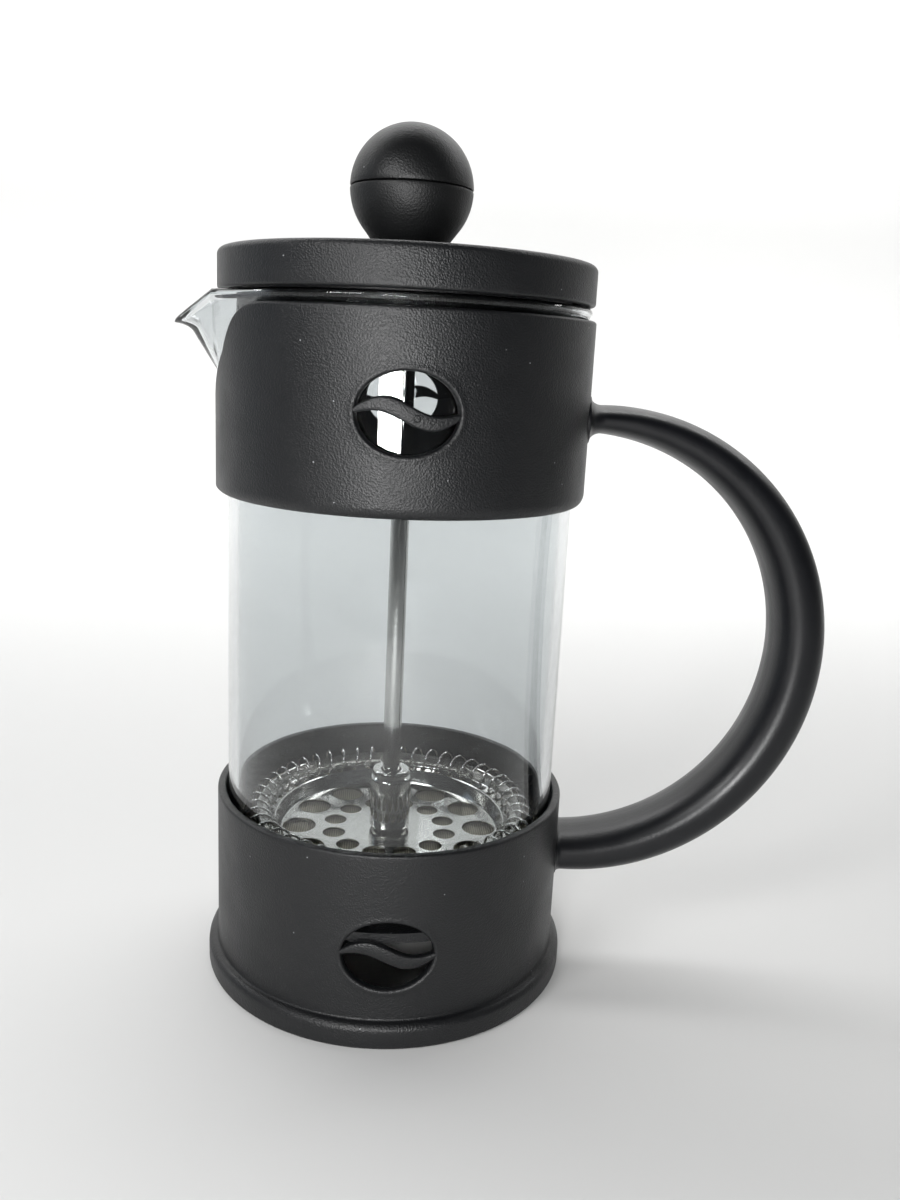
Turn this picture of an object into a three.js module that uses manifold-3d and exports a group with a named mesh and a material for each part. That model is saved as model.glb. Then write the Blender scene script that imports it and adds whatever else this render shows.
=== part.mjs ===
// A three-cup French press: a glass beaker held in a moulded frame, with its lid, plunger and filter.
//
// Millimetres, +Z up. While it is built, the beaker's axis is X = 0, Y = 0, the table is Z = 0, the
// spout points to -X and the handle to +X. At the end the whole group moves along X, so that its
// origin is the middle of its footprint box. The plunger is fully down.

import * as THREE from 'three';
import { mergeVertices } from 'three/addons/utils/BufferGeometryUtils.js';
import Module from 'manifold-3d';

const wasm = await Module();
wasm.setup();

// Clearances
const REST_GAP = 0.3; // between pieces that rest on or screw against each other
const FRAME_PLAY = 0.5; // radial play of the glass in the frame
const SLEEVE_PLAY = 0.6; // radial play of the lid's sleeve in the glass

// Glass beaker
const BEAKER_RADIUS = 35;
const BEAKER_HEIGHT = 117.8;
const GLASS_WALL = 2;
const GLASS_FLOOR = 2.3;
const GLASS_CORNER = 5; // outer radius of the bottom corner
const RIM_FLARE = 1.5;
const RIM_FLARE_HEIGHT = 5;
const SPOUT_REACH = 9.5; // past the rim
const SPOUT_HEIGHT = 18.1; // from the spout's root to the rim
const SPOUT_DROP = 6.2; // how far the spout's tip lies below the rim
const SPOUT_SWELL = 0.75; // below 1, the spout's throat fills out early

// Frame: base cup, collar and handle, one moulding on the real object
const SEAT_Z = 22.9; // top of the ledge that the glass stands on
const SEAT_LEDGE_WIDTH = 8.5;
const SEAT_LEDGE_THICKNESS = 2;
const BASE_GRIP = 16.9; // how far the base cup stands above its ledge
const BASE_WALL = 1.7;
const FOOT_LIP = 2;
const FOOT_HEIGHT = 5.2;
const COLLAR_WALL = 1.9;
const COLLAR_HEIGHT = 35.8;
const COLLAR_EDGE = 2.4; // height of the rounded lower edge
const RIM_SHOWING = 2.4; // glass left bare between the collar and the lid
const NOTCH_DEPTH_BELOW_SPOUT = 2;
const HANDLE_WIDTH = 16;
const HANDLE_OUTER_REACH = [2.8, 6.5, 4.4]; // out from the centre line, at the collar, the side and the foot
const HANDLE_INNER_REACH = [2.6, 4.5, 4.7];
const HANDLE_FULLNESS = 0.85; // 1 is an ellipse, less is squarer
const HANDLE_TOP_BELOW_COLLAR = 19; // from the collar's top to the handle's centre line
const HANDLE_FOOT_Z = 24.8;
const HANDLE_ROOT = 1.1; // straight stretch between the frame and the handle's arc

// Bean windows in the collar and the base, front and back
const WINDOW_WIDTH = 19;
const WINDOW_HEIGHT = 15;
const WINDOW_BAR = 2.9; // thickness of the S-shaped bar at its middle
const WINDOW_BAR_END = 0.7;
const WINDOW_BAR_SWING = 1.5;
const COLLAR_WINDOW_DROP = 17.6; // from the collar's top to the window's centre
const BASE_WINDOW_Z = 18.8;

// Lid
const LID_HEIGHT = 7.6;
const LID_OVERHANG = 0.5; // past the glass rim
const LID_WALL = 1.8;
const LID_TOP = 2;
const LID_EDGE = 1.2;
const SLEEVE_WALL = 1.4;
const SLEEVE_DEPTH = 11.3; // below the lid's lower face
const POUR_SLOTS = 7;
const POUR_SLOT_WIDTH = 1.4;
const POUR_SLOT_HEIGHT = 7;
const POUR_SLOT_STEP = 8; // degrees from slot to slot
const BUSH_WALL = 1.05;
const BUSH_FLANGE = 2.1;
const BUSH_FLANGE_THICKNESS = 0.8;
const BUSH_BELOW_FLANGE = 4;

// Knob
const KNOB_RADIUS = 12;
const KNOB_NECK = 12.7; // from the knob's base to its centre
const KNOB_BASE_RADIUS = 5.7;
const KNOB_CONE_ANGLE = 36; // degrees below the centre where the ball turns into a cone
const KNOB_SHELL = 1.6;
const KNOB_FLOOR = 1;
const KNOB_BOSS_WALL = 1.5;
const INSERT_WALL = 1.15;
const INSERT_HEIGHT = 10;

// Plunger and filter
const ROD_RADIUS = 1.95;
const HUB_RADIUS = 4.45;
const HUB_HEIGHT = 13.8;
const HUB_SHOULDER_RADIUS = 4.05;
const ROD_IN_HUB = 6.1;
const STUD_IN_HUB = 6.7;
const STUD_HEAD_RADIUS = 3.5;
const STUD_HEAD = 0.25;
const CROSS_PLATE_RADIUS = 24;
const CROSS_PLATE_SHEET = 0.8;
const CROSS_PLATE_OPENINGS = 6;
const MESH_SHEET = 0.25;
const MESH_RIM_HEIGHT = 5;
const PLATE_SHEET = 0.5;
const PLATE_TROUGH_RISE = 2.8; // from the plate's middle up to the trough that carries the coil
const PLATE_WALL_HEIGHT = 3.3; // the rim wall inside the coil
const PLATE_WALL_SHEET = 0.4;
const PLATE_TROUGH_WIDTH = 3.8; // from the ridge to the rim wall
const PLATE_RIDGE = 0.5; // height of the ridge above the trough
const BIG_HOLE_RADIUS = 3.65;
const BIG_HOLE_MARGIN = 0.45;
const SMALL_HOLE_RADIUS = 2.45;
const HOLE_RING_STEP = 7.5; // between the two rings of holes
const HOLES_PER_RING = 12;
const COIL_RADIUS = 2.8;
const COIL_RISE = 2; // from the trough's top to the coil's centre
const COIL_TURNS = 48;
const WIRE_RADIUS = 0.27;

// Facets
const ROUND = 40;
const SMALL_ROUND = 20;
const HOLE_SIDES = 10;
const COIL_STEPS = 8; // facets in each turn of the coil
const HANDLE_STEPS = 32;
const HANDLE_SIDES = 20;

// Sizes that follow from the ones above
const glassBottom = SEAT_Z + REST_GAP;
const floorTop = glassBottom + GLASS_FLOOR;
const rimTop = glassBottom + BEAKER_HEIGHT;
const rimRadius = BEAKER_RADIUS + RIM_FLARE;
const boreRadius = BEAKER_RADIUS - GLASS_WALL;
const frameBore = BEAKER_RADIUS + FRAME_PLAY;
const collarRadius = frameBore + COLLAR_WALL;
const collarTop = rimTop - RIM_SHOWING;
const collarBottom = collarTop - COLLAR_HEIGHT;
const baseRadius = frameBore + BASE_WALL;
const baseTop = SEAT_Z + BASE_GRIP;
const footRadius = baseRadius + FOOT_LIP;
const spoutRoot = rimTop - SPOUT_HEIGHT;
const lidBottom = rimTop + REST_GAP;
const lidTop = lidBottom + LID_HEIGHT;
const lidRadius = rimRadius + LID_OVERHANG;
const lidCeiling = lidTop - LID_TOP;
const sleeveRadius = boreRadius - SLEEVE_PLAY;
const sleeveTop = lidCeiling - REST_GAP;
const rodBore = ROD_RADIUS + REST_GAP;
const bushRadius = rodBore + BUSH_WALL;
const bushHole = bushRadius + REST_GAP;
const knobBottom = lidTop + REST_GAP;
const knobCentre = knobBottom + KNOB_NECK;
const insertRadius = rodBore + INSERT_WALL;
const insertBottom = knobBottom + KNOB_FLOOR + REST_GAP;
const studBottom = floorTop + REST_GAP;
const crossPlateBottom = studBottom + STUD_HEAD + REST_GAP;
const meshBottom = crossPlateBottom + CROSS_PLATE_SHEET + REST_GAP;
const plateBottom = meshBottom + MESH_SHEET + REST_GAP;
const plateTop = plateBottom + PLATE_SHEET;
const hubBottom = plateTop + REST_GAP;
const studHole = ROD_RADIUS + REST_GAP;
const meshRadius = boreRadius - REST_GAP;
const coilRing = meshRadius - MESH_SHEET - REST_GAP - WIRE_RADIUS - COIL_RADIUS;
const troughTop = plateTop + PLATE_TROUGH_RISE;
const coilCentre = troughTop + COIL_RISE;
const ridgeRadius = coilRing - PLATE_TROUGH_WIDTH;
const plateFlat = ridgeRadius - 1.2;
const bigHoleRing = plateFlat - BIG_HOLE_MARGIN - BIG_HOLE_RADIUS;
const smallHoleRing = bigHoleRing - HOLE_RING_STEP;
const handleTop = collarTop - HANDLE_TOP_BELOW_COLLAR;
const handleArc = (handleTop - HANDLE_FOOT_Z) / 2;
const handleRootX = collarRadius + HANDLE_ROOT;

// ---- Geometry helpers

const radians = THREE.MathUtils.degToRad;

// Joins the vertices that share a place, and drops the triangles that have no area.
function weld(geometry) {
  geometry.deleteAttribute('normal');
  geometry.deleteAttribute('uv');
  const merged = mergeVertices(geometry);
  const corners = merged.getIndex().array;
  const kept = [];
  for (let i = 0; i < corners.length; i += 3) {
    const [a, b, c] = corners.subarray(i, i + 3);
    if (a !== b && b !== c && c !== a) kept.push(a, b, c);
  }
  merged.setIndex(kept);
  return merged;
}

function toSolid(geometry) {
  return new wasm.Manifold(new wasm.Mesh({
    numProp: 3,
    vertProperties: Float32Array.from(geometry.getAttribute('position').array),
    triVerts: Uint32Array.from(geometry.getIndex().array),
  }));
}

function toGeometry(solid) {
  const mesh = solid.getMesh();
  const geometry = new THREE.BufferGeometry();
  geometry.setAttribute('position', new THREE.BufferAttribute(mesh.vertProperties, 3));
  geometry.setIndex(new THREE.BufferAttribute(mesh.triVerts, 1));
  return geometry;
}

function cut(geometry, ...tools) {
  const rest = tools.reduce((solid, tool) => solid.subtract(toSolid(tool)), toSolid(geometry));
  return toGeometry(rest);
}

// Turns a closed outline of [radius, height] points about Z. The outline runs anticlockwise.
function turned(outline, segments = ROUND) {
  const points = [...outline, outline[0]].map(([r, z]) => new THREE.Vector2(r, z));
  const geometry = new THREE.LatheGeometry(points, segments);
  geometry.rotateX(Math.PI / 2);
  return weld(geometry);
}

// Points on an arc about (r, z), from one angle to another in degrees.
function arc(r, z, radius, from, to, steps, stretch = 1) {
  return Array.from({ length: steps + 1 }, (_, i) => {
    const angle = radians(from + (to - from) * i / steps);
    return [r + radius * Math.cos(angle), z + stretch * radius * Math.sin(angle)];
  });
}

function tube(inner, outer, bottom, top, segments = ROUND) {
  return turned([[inner, bottom], [outer, bottom], [outer, top], [inner, top]], segments);
}

function rod(radius, bottom, top, sides = SMALL_ROUND) {
  const geometry = new THREE.CylinderGeometry(radius, radius, top - bottom, sides);
  geometry.rotateX(Math.PI / 2);
  geometry.translate(0, 0, (bottom + top) / 2);
  return weld(geometry);
}

// A shape drawn in X and Z, extruded along Y through the whole object.
function prismAlongY(shape, reach) {
  const geometry = new THREE.ExtrudeGeometry(shape, { depth: 2 * reach, bevelEnabled: false, curveSegments: 10 });
  geometry.translate(0, 0, -reach);
  geometry.rotateX(Math.PI / 2);
  return weld(geometry);
}

// One piece turned about Z into a ring of equal copies.
function ringOf(makeOne, count, firstAngle = 0) {
  return Array.from({ length: count }, (_, i) => {
    const copy = makeOne();
    copy.rotateZ(firstAngle + 2 * Math.PI * i / count);
    return copy;
  });
}

function named(name, geometry, material) {
  const mesh = new THREE.Mesh(geometry, material);
  mesh.name = name;
  return mesh;
}

// ---- Materials

const blackPolypropylene = () => new THREE.MeshStandardMaterial({ color: 0x1b1c1e, roughness: 0.5, metalness: 0 });
const handlePolypropylene = () => new THREE.MeshStandardMaterial({ color: 0x16181b, roughness: 0.38, metalness: 0 });
const borosilicate = () => new THREE.MeshStandardMaterial({
  color: 0xe6eeec, roughness: 0.03, metalness: 0, transparent: true, opacity: 0.35,
});
const polishedSteel = () => new THREE.MeshStandardMaterial({ color: 0xc9cbcc, roughness: 0.15, metalness: 1 });
const springSteel = () => new THREE.MeshStandardMaterial({ color: 0xd2d3d2, roughness: 0.2, metalness: 1 });
const wovenSteel = () => new THREE.MeshStandardMaterial({ color: 0x9c988c, roughness: 0.5, metalness: 1 });
const brass = () => new THREE.MeshStandardMaterial({ color: 0xb99a55, roughness: 0.3, metalness: 1 });

// ---- Frame

// The two openings of a bean window at one height: an ellipse, less the S-shaped bar across it. The
// inner face of the wall bounds the cut, so that nothing inside the wall is touched.
function windowCutters(centreZ, outerRadius) {
  const ellipse = new THREE.Shape();
  ellipse.absellipse(0, centreZ, WINDOW_WIDTH / 2, WINDOW_HEIGHT / 2, 0, 2 * Math.PI);
  const reach = outerRadius + 3;
  const core = rod(frameBore - 0.05, centreZ - WINDOW_HEIGHT, centreZ + WINDOW_HEIGHT, ROUND);
  const side = (turn) => {
    const half = new THREE.BoxGeometry(2 * reach, reach, 2 * WINDOW_HEIGHT);
    half.translate(0, reach / 2, centreZ);
    const bar = prismAlongY(barShape(centreZ), reach);
    const opening = cut(prismAlongY(ellipse, reach), weld(half), bar, core);
    opening.rotateZ(turn);
    return opening;
  };
  return [side(0), side(Math.PI)];
}

function barShape(centreZ) {
  const halfLength = WINDOW_WIDTH / 2 + 1;
  const steps = 12;
  const edge = (sign) => Array.from({ length: steps + 1 }, (_, i) => {
    const share = 2 * i / steps - 1;
    const middle = -WINDOW_BAR_SWING * Math.sin(Math.PI * share);
    const thickness = WINDOW_BAR_END + (WINDOW_BAR - WINDOW_BAR_END) * Math.cos(Math.PI * share / 2);
    return new THREE.Vector2(share * halfLength, centreZ + middle + sign * thickness / 2);
  });
  return new THREE.Shape([...edge(-1), ...edge(1).reverse()]);
}

function baseCup() {
  const footArc = arc(baseRadius, FOOT_HEIGHT - FOOT_LIP, FOOT_LIP, 0, 90, 3);
  const ledgeInner = frameBore - SEAT_LEDGE_WIDTH;
  const ledgeBottom = SEAT_Z - SEAT_LEDGE_THICKNESS;
  const body = turned([
    [frameBore, 0], [footRadius - 0.6, 0], [footRadius, 0.6], ...footArc,
    [baseRadius, baseTop - 0.5], [baseRadius - 0.5, baseTop], [frameBore, baseTop],
    [frameBore, SEAT_Z], [ledgeInner, SEAT_Z], [ledgeInner, ledgeBottom], [frameBore, ledgeBottom],
  ]);
  return named('base_cup', cut(body, ...windowCutters(BASE_WINDOW_Z, baseRadius)), blackPolypropylene());
}

// The collar is notched at its top for the spout: wide shoulders that draw in to a narrow foot.
function collarNotch() {
  const shoulder = 0.77 * collarRadius;
  const waist = 0.41 * collarRadius;
  const foot = 0.17 * collarRadius;
  const bottom = spoutRoot - NOTCH_DEPTH_BELOW_SPOUT;
  const waistZ = spoutRoot + 0.4 * SPOUT_HEIGHT;
  const side = (sign) => [
    [foot, bottom], [waist, waistZ], [1.12 * waist, waistZ + 0.4 * (collarTop - waistZ)],
    [1.35 * waist, waistZ + 0.7 * (collarTop - waistZ)], [1.63 * waist, waistZ + 0.88 * (collarTop - waistZ)],
    [shoulder, collarTop - 0.1], [shoulder + 1, collarTop + 1],
  ].map(([y, z]) => new THREE.Vector2(sign * y, z));
  const shape = new THREE.Shape([...side(1), ...side(-1).reverse()]);
  const geometry = new THREE.ExtrudeGeometry(shape, { depth: collarRadius, bevelEnabled: false });
  geometry.translate(0, 0, 1);
  geometry.rotateX(Math.PI / 2);
  geometry.rotateZ(-Math.PI / 2);
  return weld(geometry);
}

function upperCollar() {
  const inset = COLLAR_WALL * 0.6;
  const lowerEdge = arc(collarRadius - inset, collarBottom + COLLAR_EDGE, inset, -90, 0, 3, COLLAR_EDGE / inset);
  const body = turned([
    [frameBore, collarBottom], ...lowerEdge,
    [collarRadius, collarTop - 0.6], [collarRadius - 0.4, collarTop], [frameBore + 0.9, collarTop],
    [frameBore, collarTop - 2.4],
  ]);
  const windows = windowCutters(collarTop - COLLAR_WINDOW_DROP, collarRadius);
  return named('upper_collar', cut(body, collarNotch(), ...windows), blackPolypropylene());
}

// The handle's centre line: straight out of the collar, half a circle, and straight into the base.
class HandleLine extends THREE.Curve {
  getPoint(t, target = new THREE.Vector3()) {
    const lead = 4;
    const length = 2 * lead + Math.PI * handleArc;
    const along = t * length;
    if (along < lead) return target.set(handleRootX - lead + along, 0, handleTop);
    if (along > length - lead) return target.set(handleRootX - lead + length - along, 0, HANDLE_FOOT_Z);
    const angle = (along - lead) / handleArc;
    return target.set(
      handleRootX + handleArc * Math.sin(angle), 0, (handleTop + HANDLE_FOOT_Z) / 2 + handleArc * Math.cos(angle),
    );
  }
}

// A full oval section, one unit thick each way. Its first coordinate points to the inside of the
// handle's arc, its second across the handle.
function handleSection() {
  const bulge = (value) => Math.sign(value) * Math.abs(value) ** HANDLE_FULLNESS;
  const points = [];
  for (let i = 0; i < HANDLE_SIDES; i += 1) {
    const angle = (2 * Math.PI * (i + 0.5)) / HANDLE_SIDES;
    points.push(new THREE.Vector2(bulge(Math.cos(angle)), bulge(Math.sin(angle)) * HANDLE_WIDTH / 2));
  }
  return new THREE.Shape(points);
}

// Thickens the bar from the unit section to its reach each way, which swells towards the side.
function swellHandle(geometry) {
  const position = geometry.getAttribute('position');
  const middle = (handleTop + HANDLE_FOOT_Z) / 2;
  const reachAt = ([top, side, foot], turn) => (
    top + (4 * side - 3 * top - foot) * turn / 2 + (top - 2 * side + foot) * turn ** 2 / 2
  );
  for (let i = 0; i < position.count; i += 1) {
    const x = Math.max(0, position.getX(i) - handleRootX);
    const z = position.getZ(i) - middle;
    const radius = Math.hypot(x, z);
    const quarterTurns = Math.atan2(x, z) / (Math.PI / 2);
    const outer = reachAt(HANDLE_OUTER_REACH, quarterTurns);
    const inner = reachAt(HANDLE_INNER_REACH, quarterTurns);
    const swollen = handleArc + (outer - inner) / 2 + (outer + inner) / 2 * (radius - handleArc);
    if (x > 0) position.setX(i, handleRootX + x * swollen / radius);
    position.setZ(i, middle + z * swollen / radius);
  }
  return geometry;
}

function cHandle() {
  const line = new HandleLine();
  line.arcLengthDivisions = 1000;
  const path = new THREE.ExtrudeGeometry(handleSection(), { steps: HANDLE_STEPS, extrudePath: line });
  const bar = swellHandle(weld(path));
  const collarSpace = rod(collarRadius + REST_GAP, collarBottom - 5, rimTop, ROUND);
  const baseSpace = rod(baseRadius + REST_GAP, 0, baseTop + 5, ROUND);
  return named('c_handle', cut(bar, collarSpace, baseSpace), handlePolypropylene());
}

// ---- Beaker

// Pulls the wall out into the spout. At every height the spout's sides are flat and run off the wall
// at a tangent, and its top edge slopes down evenly from the rim to the tip.
function pullSpout(geometry) {
  const position = geometry.getAttribute('position');
  const point = new THREE.Vector3();
  for (let i = 0; i < position.count; i += 1) {
    point.fromBufferAttribute(position, i);
    const share = Math.max(0, (point.z - spoutRoot) / SPOUT_HEIGHT) ** SPOUT_SWELL;
    const tangent = Math.acos(rimRadius / (rimRadius + SPOUT_REACH * share));
    const off = Math.abs(Math.atan2(point.y, -point.x));
    const stretch = 1 / Math.cos(Math.max(0, tangent - off));
    point.x *= stretch;
    point.y *= stretch;
    const beyond = Math.max(0, -point.x - rimRadius) / SPOUT_REACH;
    point.z -= SPOUT_DROP * share * beyond;
    position.setXYZ(i, point.x, point.y, point.z);
  }
  return geometry;
}

function glassBeaker() {
  const flareBottom = rimTop - RIM_FLARE_HEIGHT;
  const wallHeights = [0, 0.2, 0.45].map((share) => spoutRoot + SPOUT_HEIGHT * share).concat(flareBottom);
  const flare = [0.5, 0.8].map((share) => [RIM_FLARE * share ** 1.5, flareBottom + RIM_FLARE_HEIGHT * share]);
  const lip = GLASS_WALL / 2;
  const innerCorner = GLASS_CORNER - GLASS_WALL;
  const outer = [
    ...arc(BEAKER_RADIUS - GLASS_CORNER, glassBottom + GLASS_CORNER, GLASS_CORNER, -90, 0, 3),
    ...wallHeights.map((z) => [BEAKER_RADIUS, z]),
    ...flare.map(([r, z]) => [BEAKER_RADIUS + r, z]),
    [rimRadius, rimTop - lip * 0.4], [rimRadius - lip * 0.6, rimTop],
  ];
  const inner = [
    [rimRadius - lip * 1.4, rimTop], [rimRadius - lip * 1.9, rimTop - lip * 0.4],
    ...flare.reverse().map(([r, z]) => [boreRadius + r, z]),
    ...wallHeights.reverse().map((z) => [boreRadius, z]),
    ...arc(boreRadius - innerCorner, floorTop + innerCorner, innerCorner, 0, -90, 3),
  ];
  const body = turned([[0, glassBottom], ...outer, ...inner, [0, floorTop]]);
  return named('glass_beaker', pullSpout(body), borosilicate());
}

// ---- Lid

function lidCover() {
  const inner = lidRadius - LID_WALL;
  const body = turned([
    [inner, lidBottom], [lidRadius - 0.4, lidBottom], [lidRadius, lidBottom + 0.4],
    ...arc(lidRadius - LID_EDGE, lidTop - LID_EDGE, LID_EDGE, 0, 90, 3),
    [bushHole, lidTop], [bushHole, lidCeiling], [inner, lidCeiling],
  ]);
  return named('lid_cover', body, blackPolypropylene());
}

// The sleeve inside the lid, with pouring slots on the spout's side.
function lidStrainerSleeve() {
  const inner = sleeveRadius - SLEEVE_WALL;
  const bottom = lidBottom - SLEEVE_DEPTH;
  const body = turned([
    [inner, bottom], [sleeveRadius, bottom], [sleeveRadius, sleeveTop],
    [bushHole, sleeveTop], [bushHole, sleeveTop - SLEEVE_WALL], [inner, sleeveTop - SLEEVE_WALL],
  ]);
  const slots = Array.from({ length: POUR_SLOTS }, (_, i) => {
    const slot = new THREE.BoxGeometry(4 * SLEEVE_WALL, POUR_SLOT_WIDTH, POUR_SLOT_HEIGHT);
    slot.translate(-sleeveRadius, 0, bottom + 1.5 + POUR_SLOT_HEIGHT / 2);
    slot.rotateZ(radians(POUR_SLOT_STEP * (i - (POUR_SLOTS - 1) / 2)));
    return weld(slot);
  });
  return named('lid_strainer_sleeve', cut(body, ...slots), blackPolypropylene());
}

function rodGuideBush() {
  const flangeTop = sleeveTop - SLEEVE_WALL - REST_GAP;
  const flangeBottom = flangeTop - BUSH_FLANGE_THICKNESS;
  const flange = bushRadius + BUSH_FLANGE;
  const bottom = flangeBottom - BUSH_BELOW_FLANGE;
  const top = lidTop - REST_GAP;
  const body = turned([
    [rodBore, bottom], [bushRadius, bottom], [bushRadius, flangeBottom], [flange, flangeBottom],
    [flange, flangeTop], [bushRadius, flangeTop], [bushRadius, top], [rodBore, top],
  ], SMALL_ROUND);
  return named('rod_guide_bush', body, polishedSteel());
}

// ---- Knob

function knobUpperShell() {
  const bottom = knobCentre + REST_GAP / 2;
  const inner = KNOB_RADIUS - KNOB_SHELL;
  const body = turned([
    ...arc(0, bottom, KNOB_RADIUS, 0, 90, 7), ...arc(0, bottom, inner, 90, 0, 5),
  ], ROUND / 2 + 4);
  return named('knob_upper_shell', body, blackPolypropylene());
}

function knobLowerShell() {
  const top = knobCentre - REST_GAP / 2;
  const inner = KNOB_RADIUS - KNOB_SHELL;
  const bossBore = insertRadius + REST_GAP;
  const boss = bossBore + KNOB_BOSS_WALL;
  const floor = knobBottom + KNOB_FLOOR;
  const body = turned([
    [rodBore, knobBottom], [KNOB_BASE_RADIUS, knobBottom],
    ...arc(0, top, KNOB_RADIUS, -KNOB_CONE_ANGLE, 0, 3),
    ...arc(0, top, inner, 0, -KNOB_CONE_ANGLE, 2),
    [boss, floor + 2.2], [boss, top - 1], [bossBore, top - 1], [bossBore, floor], [rodBore, floor],
  ], ROUND / 2 + 4);
  return named('knob_lower_shell', body, blackPolypropylene());
}

function knobInsert() {
  const body = tube(rodBore, insertRadius, insertBottom, insertBottom + INSERT_HEIGHT, SMALL_ROUND);
  return named('knob_insert', body, brass());
}

// ---- Plunger and filter

function plungerRod() {
  const bottom = hubBottom + HUB_HEIGHT - ROD_IN_HUB;
  const top = insertBottom + INSERT_HEIGHT - REST_GAP;
  return named('plunger_rod', rod(ROD_RADIUS, bottom, top, 16), polishedSteel());
}

function hubBarrel() {
  const top = hubBottom + HUB_HEIGHT;
  const body = turned([
    [studHole, hubBottom], [HUB_RADIUS - 1, hubBottom], [HUB_RADIUS, hubBottom + 1.1],
    [HUB_RADIUS, top - 2.2], [HUB_SHOULDER_RADIUS, top - 1.6], [HUB_SHOULDER_RADIUS, top - 0.5],
    [HUB_SHOULDER_RADIUS - 0.4, top], [studHole, top],
  ], SMALL_ROUND);
  return named('hub_barrel', body, polishedSteel());
}

// The wire's facets run a little inside the true circle of each turn.
const coilFacetRadius = COIL_RADIUS * (1 + Math.cos(Math.PI / COIL_STEPS)) / 2;

// The angle along the coil, in turns, where its wire passes down through the plate's trough.
function threadPhase() {
  const depth = COIL_RISE + PLATE_SHEET / 2;
  return (Math.PI + Math.asin(depth / coilFacetRadius)) / (2 * Math.PI);
}

const coilGap = radians(1.5); // between the coil's two ends
const coilStep = (2 * Math.PI - coilGap) / COIL_TURNS;

// A dished plate: a flat middle with two rings of holes, a ridge, and a trough whose slots the coil
// is threaded through. The coil wraps round the upright rim wall.
function filterPlate() {
  const wallInner = coilRing - PLATE_WALL_SHEET / 2;
  const wallOuter = coilRing + PLATE_WALL_SHEET / 2;
  const wallTop = troughTop + PLATE_WALL_HEIGHT;
  const troughBottom = troughTop - PLATE_SHEET;
  const body = turned([
    [studHole, plateBottom], [plateFlat + 0.3, plateBottom], [ridgeRadius + 0.1, troughBottom],
    [wallOuter, troughBottom], [wallOuter, wallTop], [wallInner, wallTop], [wallInner, troughTop],
    [ridgeRadius + 0.5, troughTop], [ridgeRadius, troughTop + PLATE_RIDGE],
    [ridgeRadius - 0.5, troughTop], [plateFlat, plateTop], [studHole, plateTop],
  ]);
  const hole = (radius, ring, sides) => () => {
    const cutter = rod(radius, plateBottom - 1, plateTop + 1, sides);
    cutter.translate(ring, 0, 0);
    return cutter;
  };
  const phase = threadPhase();
  const slotRing = coilRing + coilFacetRadius * Math.cos(2 * Math.PI * phase);
  const slotLength = 2 * (WIRE_RADIUS + REST_GAP) + PLATE_SHEET * 2.8;
  const slots = Array.from({ length: COIL_TURNS }, (_, turn) => {
    const slot = new THREE.BoxGeometry(slotLength, 2 * (WIRE_RADIUS + REST_GAP) + 0.4, 4 * PLATE_SHEET);
    slot.translate(slotRing, 0, troughTop - PLATE_SHEET / 2);
    slot.rotateZ((turn + phase) * coilStep);
    return weld(slot);
  });
  const halfStep = Math.PI / HOLES_PER_RING;
  const geometry = cut(
    body,
    ...ringOf(hole(BIG_HOLE_RADIUS, bigHoleRing, HOLE_SIDES), HOLES_PER_RING),
    ...ringOf(hole(SMALL_HOLE_RADIUS, smallHoleRing, HOLE_SIDES - 2), HOLES_PER_RING, halfStep),
    ...slots,
  );
  return named('filter_plate', geometry, polishedSteel());
}

// The coil spring: a wire wound round a ring, whose two ends all but meet.
class CoilLine extends THREE.Curve {
  getPoint(t, target = new THREE.Vector3()) {
    const around = t * COIL_TURNS * coilStep;
    const turn = 2 * Math.PI * COIL_TURNS * t;
    const radius = coilRing + COIL_RADIUS * Math.cos(turn);
    return target.set(
      radius * Math.cos(around), radius * Math.sin(around), coilCentre + COIL_RADIUS * Math.sin(turn),
    );
  }
}

function coilSpring() {
  const line = new CoilLine();
  line.arcLengthDivisions = COIL_TURNS * 60;
  const wire = new THREE.Shape(arc(0, 0, WIRE_RADIUS, 0, 240, 2).map(([x, y]) => new THREE.Vector2(x, y)));
  const geometry = new THREE.ExtrudeGeometry(wire, { steps: COIL_TURNS * COIL_STEPS, extrudePath: line });
  return named('coil_spring', weld(geometry), springSteel());
}

// The woven disc under the plate. Its edge turns up outside the coil, which presses it to the glass.
function meshScreen() {
  const turnUp = meshBottom + MESH_RIM_HEIGHT;
  const body = turned([
    [studHole, meshBottom], [meshRadius - 1.2, meshBottom], [meshRadius, meshBottom + 1.2],
    [meshRadius, turnUp], [meshRadius - MESH_SHEET, turnUp], [meshRadius - MESH_SHEET, meshBottom + 1.3],
    [meshRadius - 1.3, meshBottom + MESH_SHEET], [studHole, meshBottom + MESH_SHEET],
  ]);
  return named('mesh_screen', body, wovenSteel());
}

function crossPlate() {
  const top = crossPlateBottom + CROSS_PLATE_SHEET;
  const openingRadius = 0.26 * CROSS_PLATE_RADIUS;
  const opening = () => {
    const cutter = rod(openingRadius, crossPlateBottom - 1, top + 1, HOLE_SIDES);
    cutter.translate(0.61 * CROSS_PLATE_RADIUS, 0, 0);
    return cutter;
  };
  const body = tube(studHole, CROSS_PLATE_RADIUS, crossPlateBottom, top);
  return named('cross_plate', cut(body, ...ringOf(opening, CROSS_PLATE_OPENINGS)), polishedSteel());
}

function crossPlateStud() {
  const shoulder = studBottom + STUD_HEAD;
  const body = turned([
    [0, studBottom], [STUD_HEAD_RADIUS, studBottom], [STUD_HEAD_RADIUS, shoulder],
    [ROD_RADIUS, shoulder], [ROD_RADIUS, hubBottom + STUD_IN_HUB], [0, hubBottom + STUD_IN_HUB],
  ], SMALL_ROUND);
  return named('cross_plate_stud', body, polishedSteel());
}

// ---- Assembly

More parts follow.
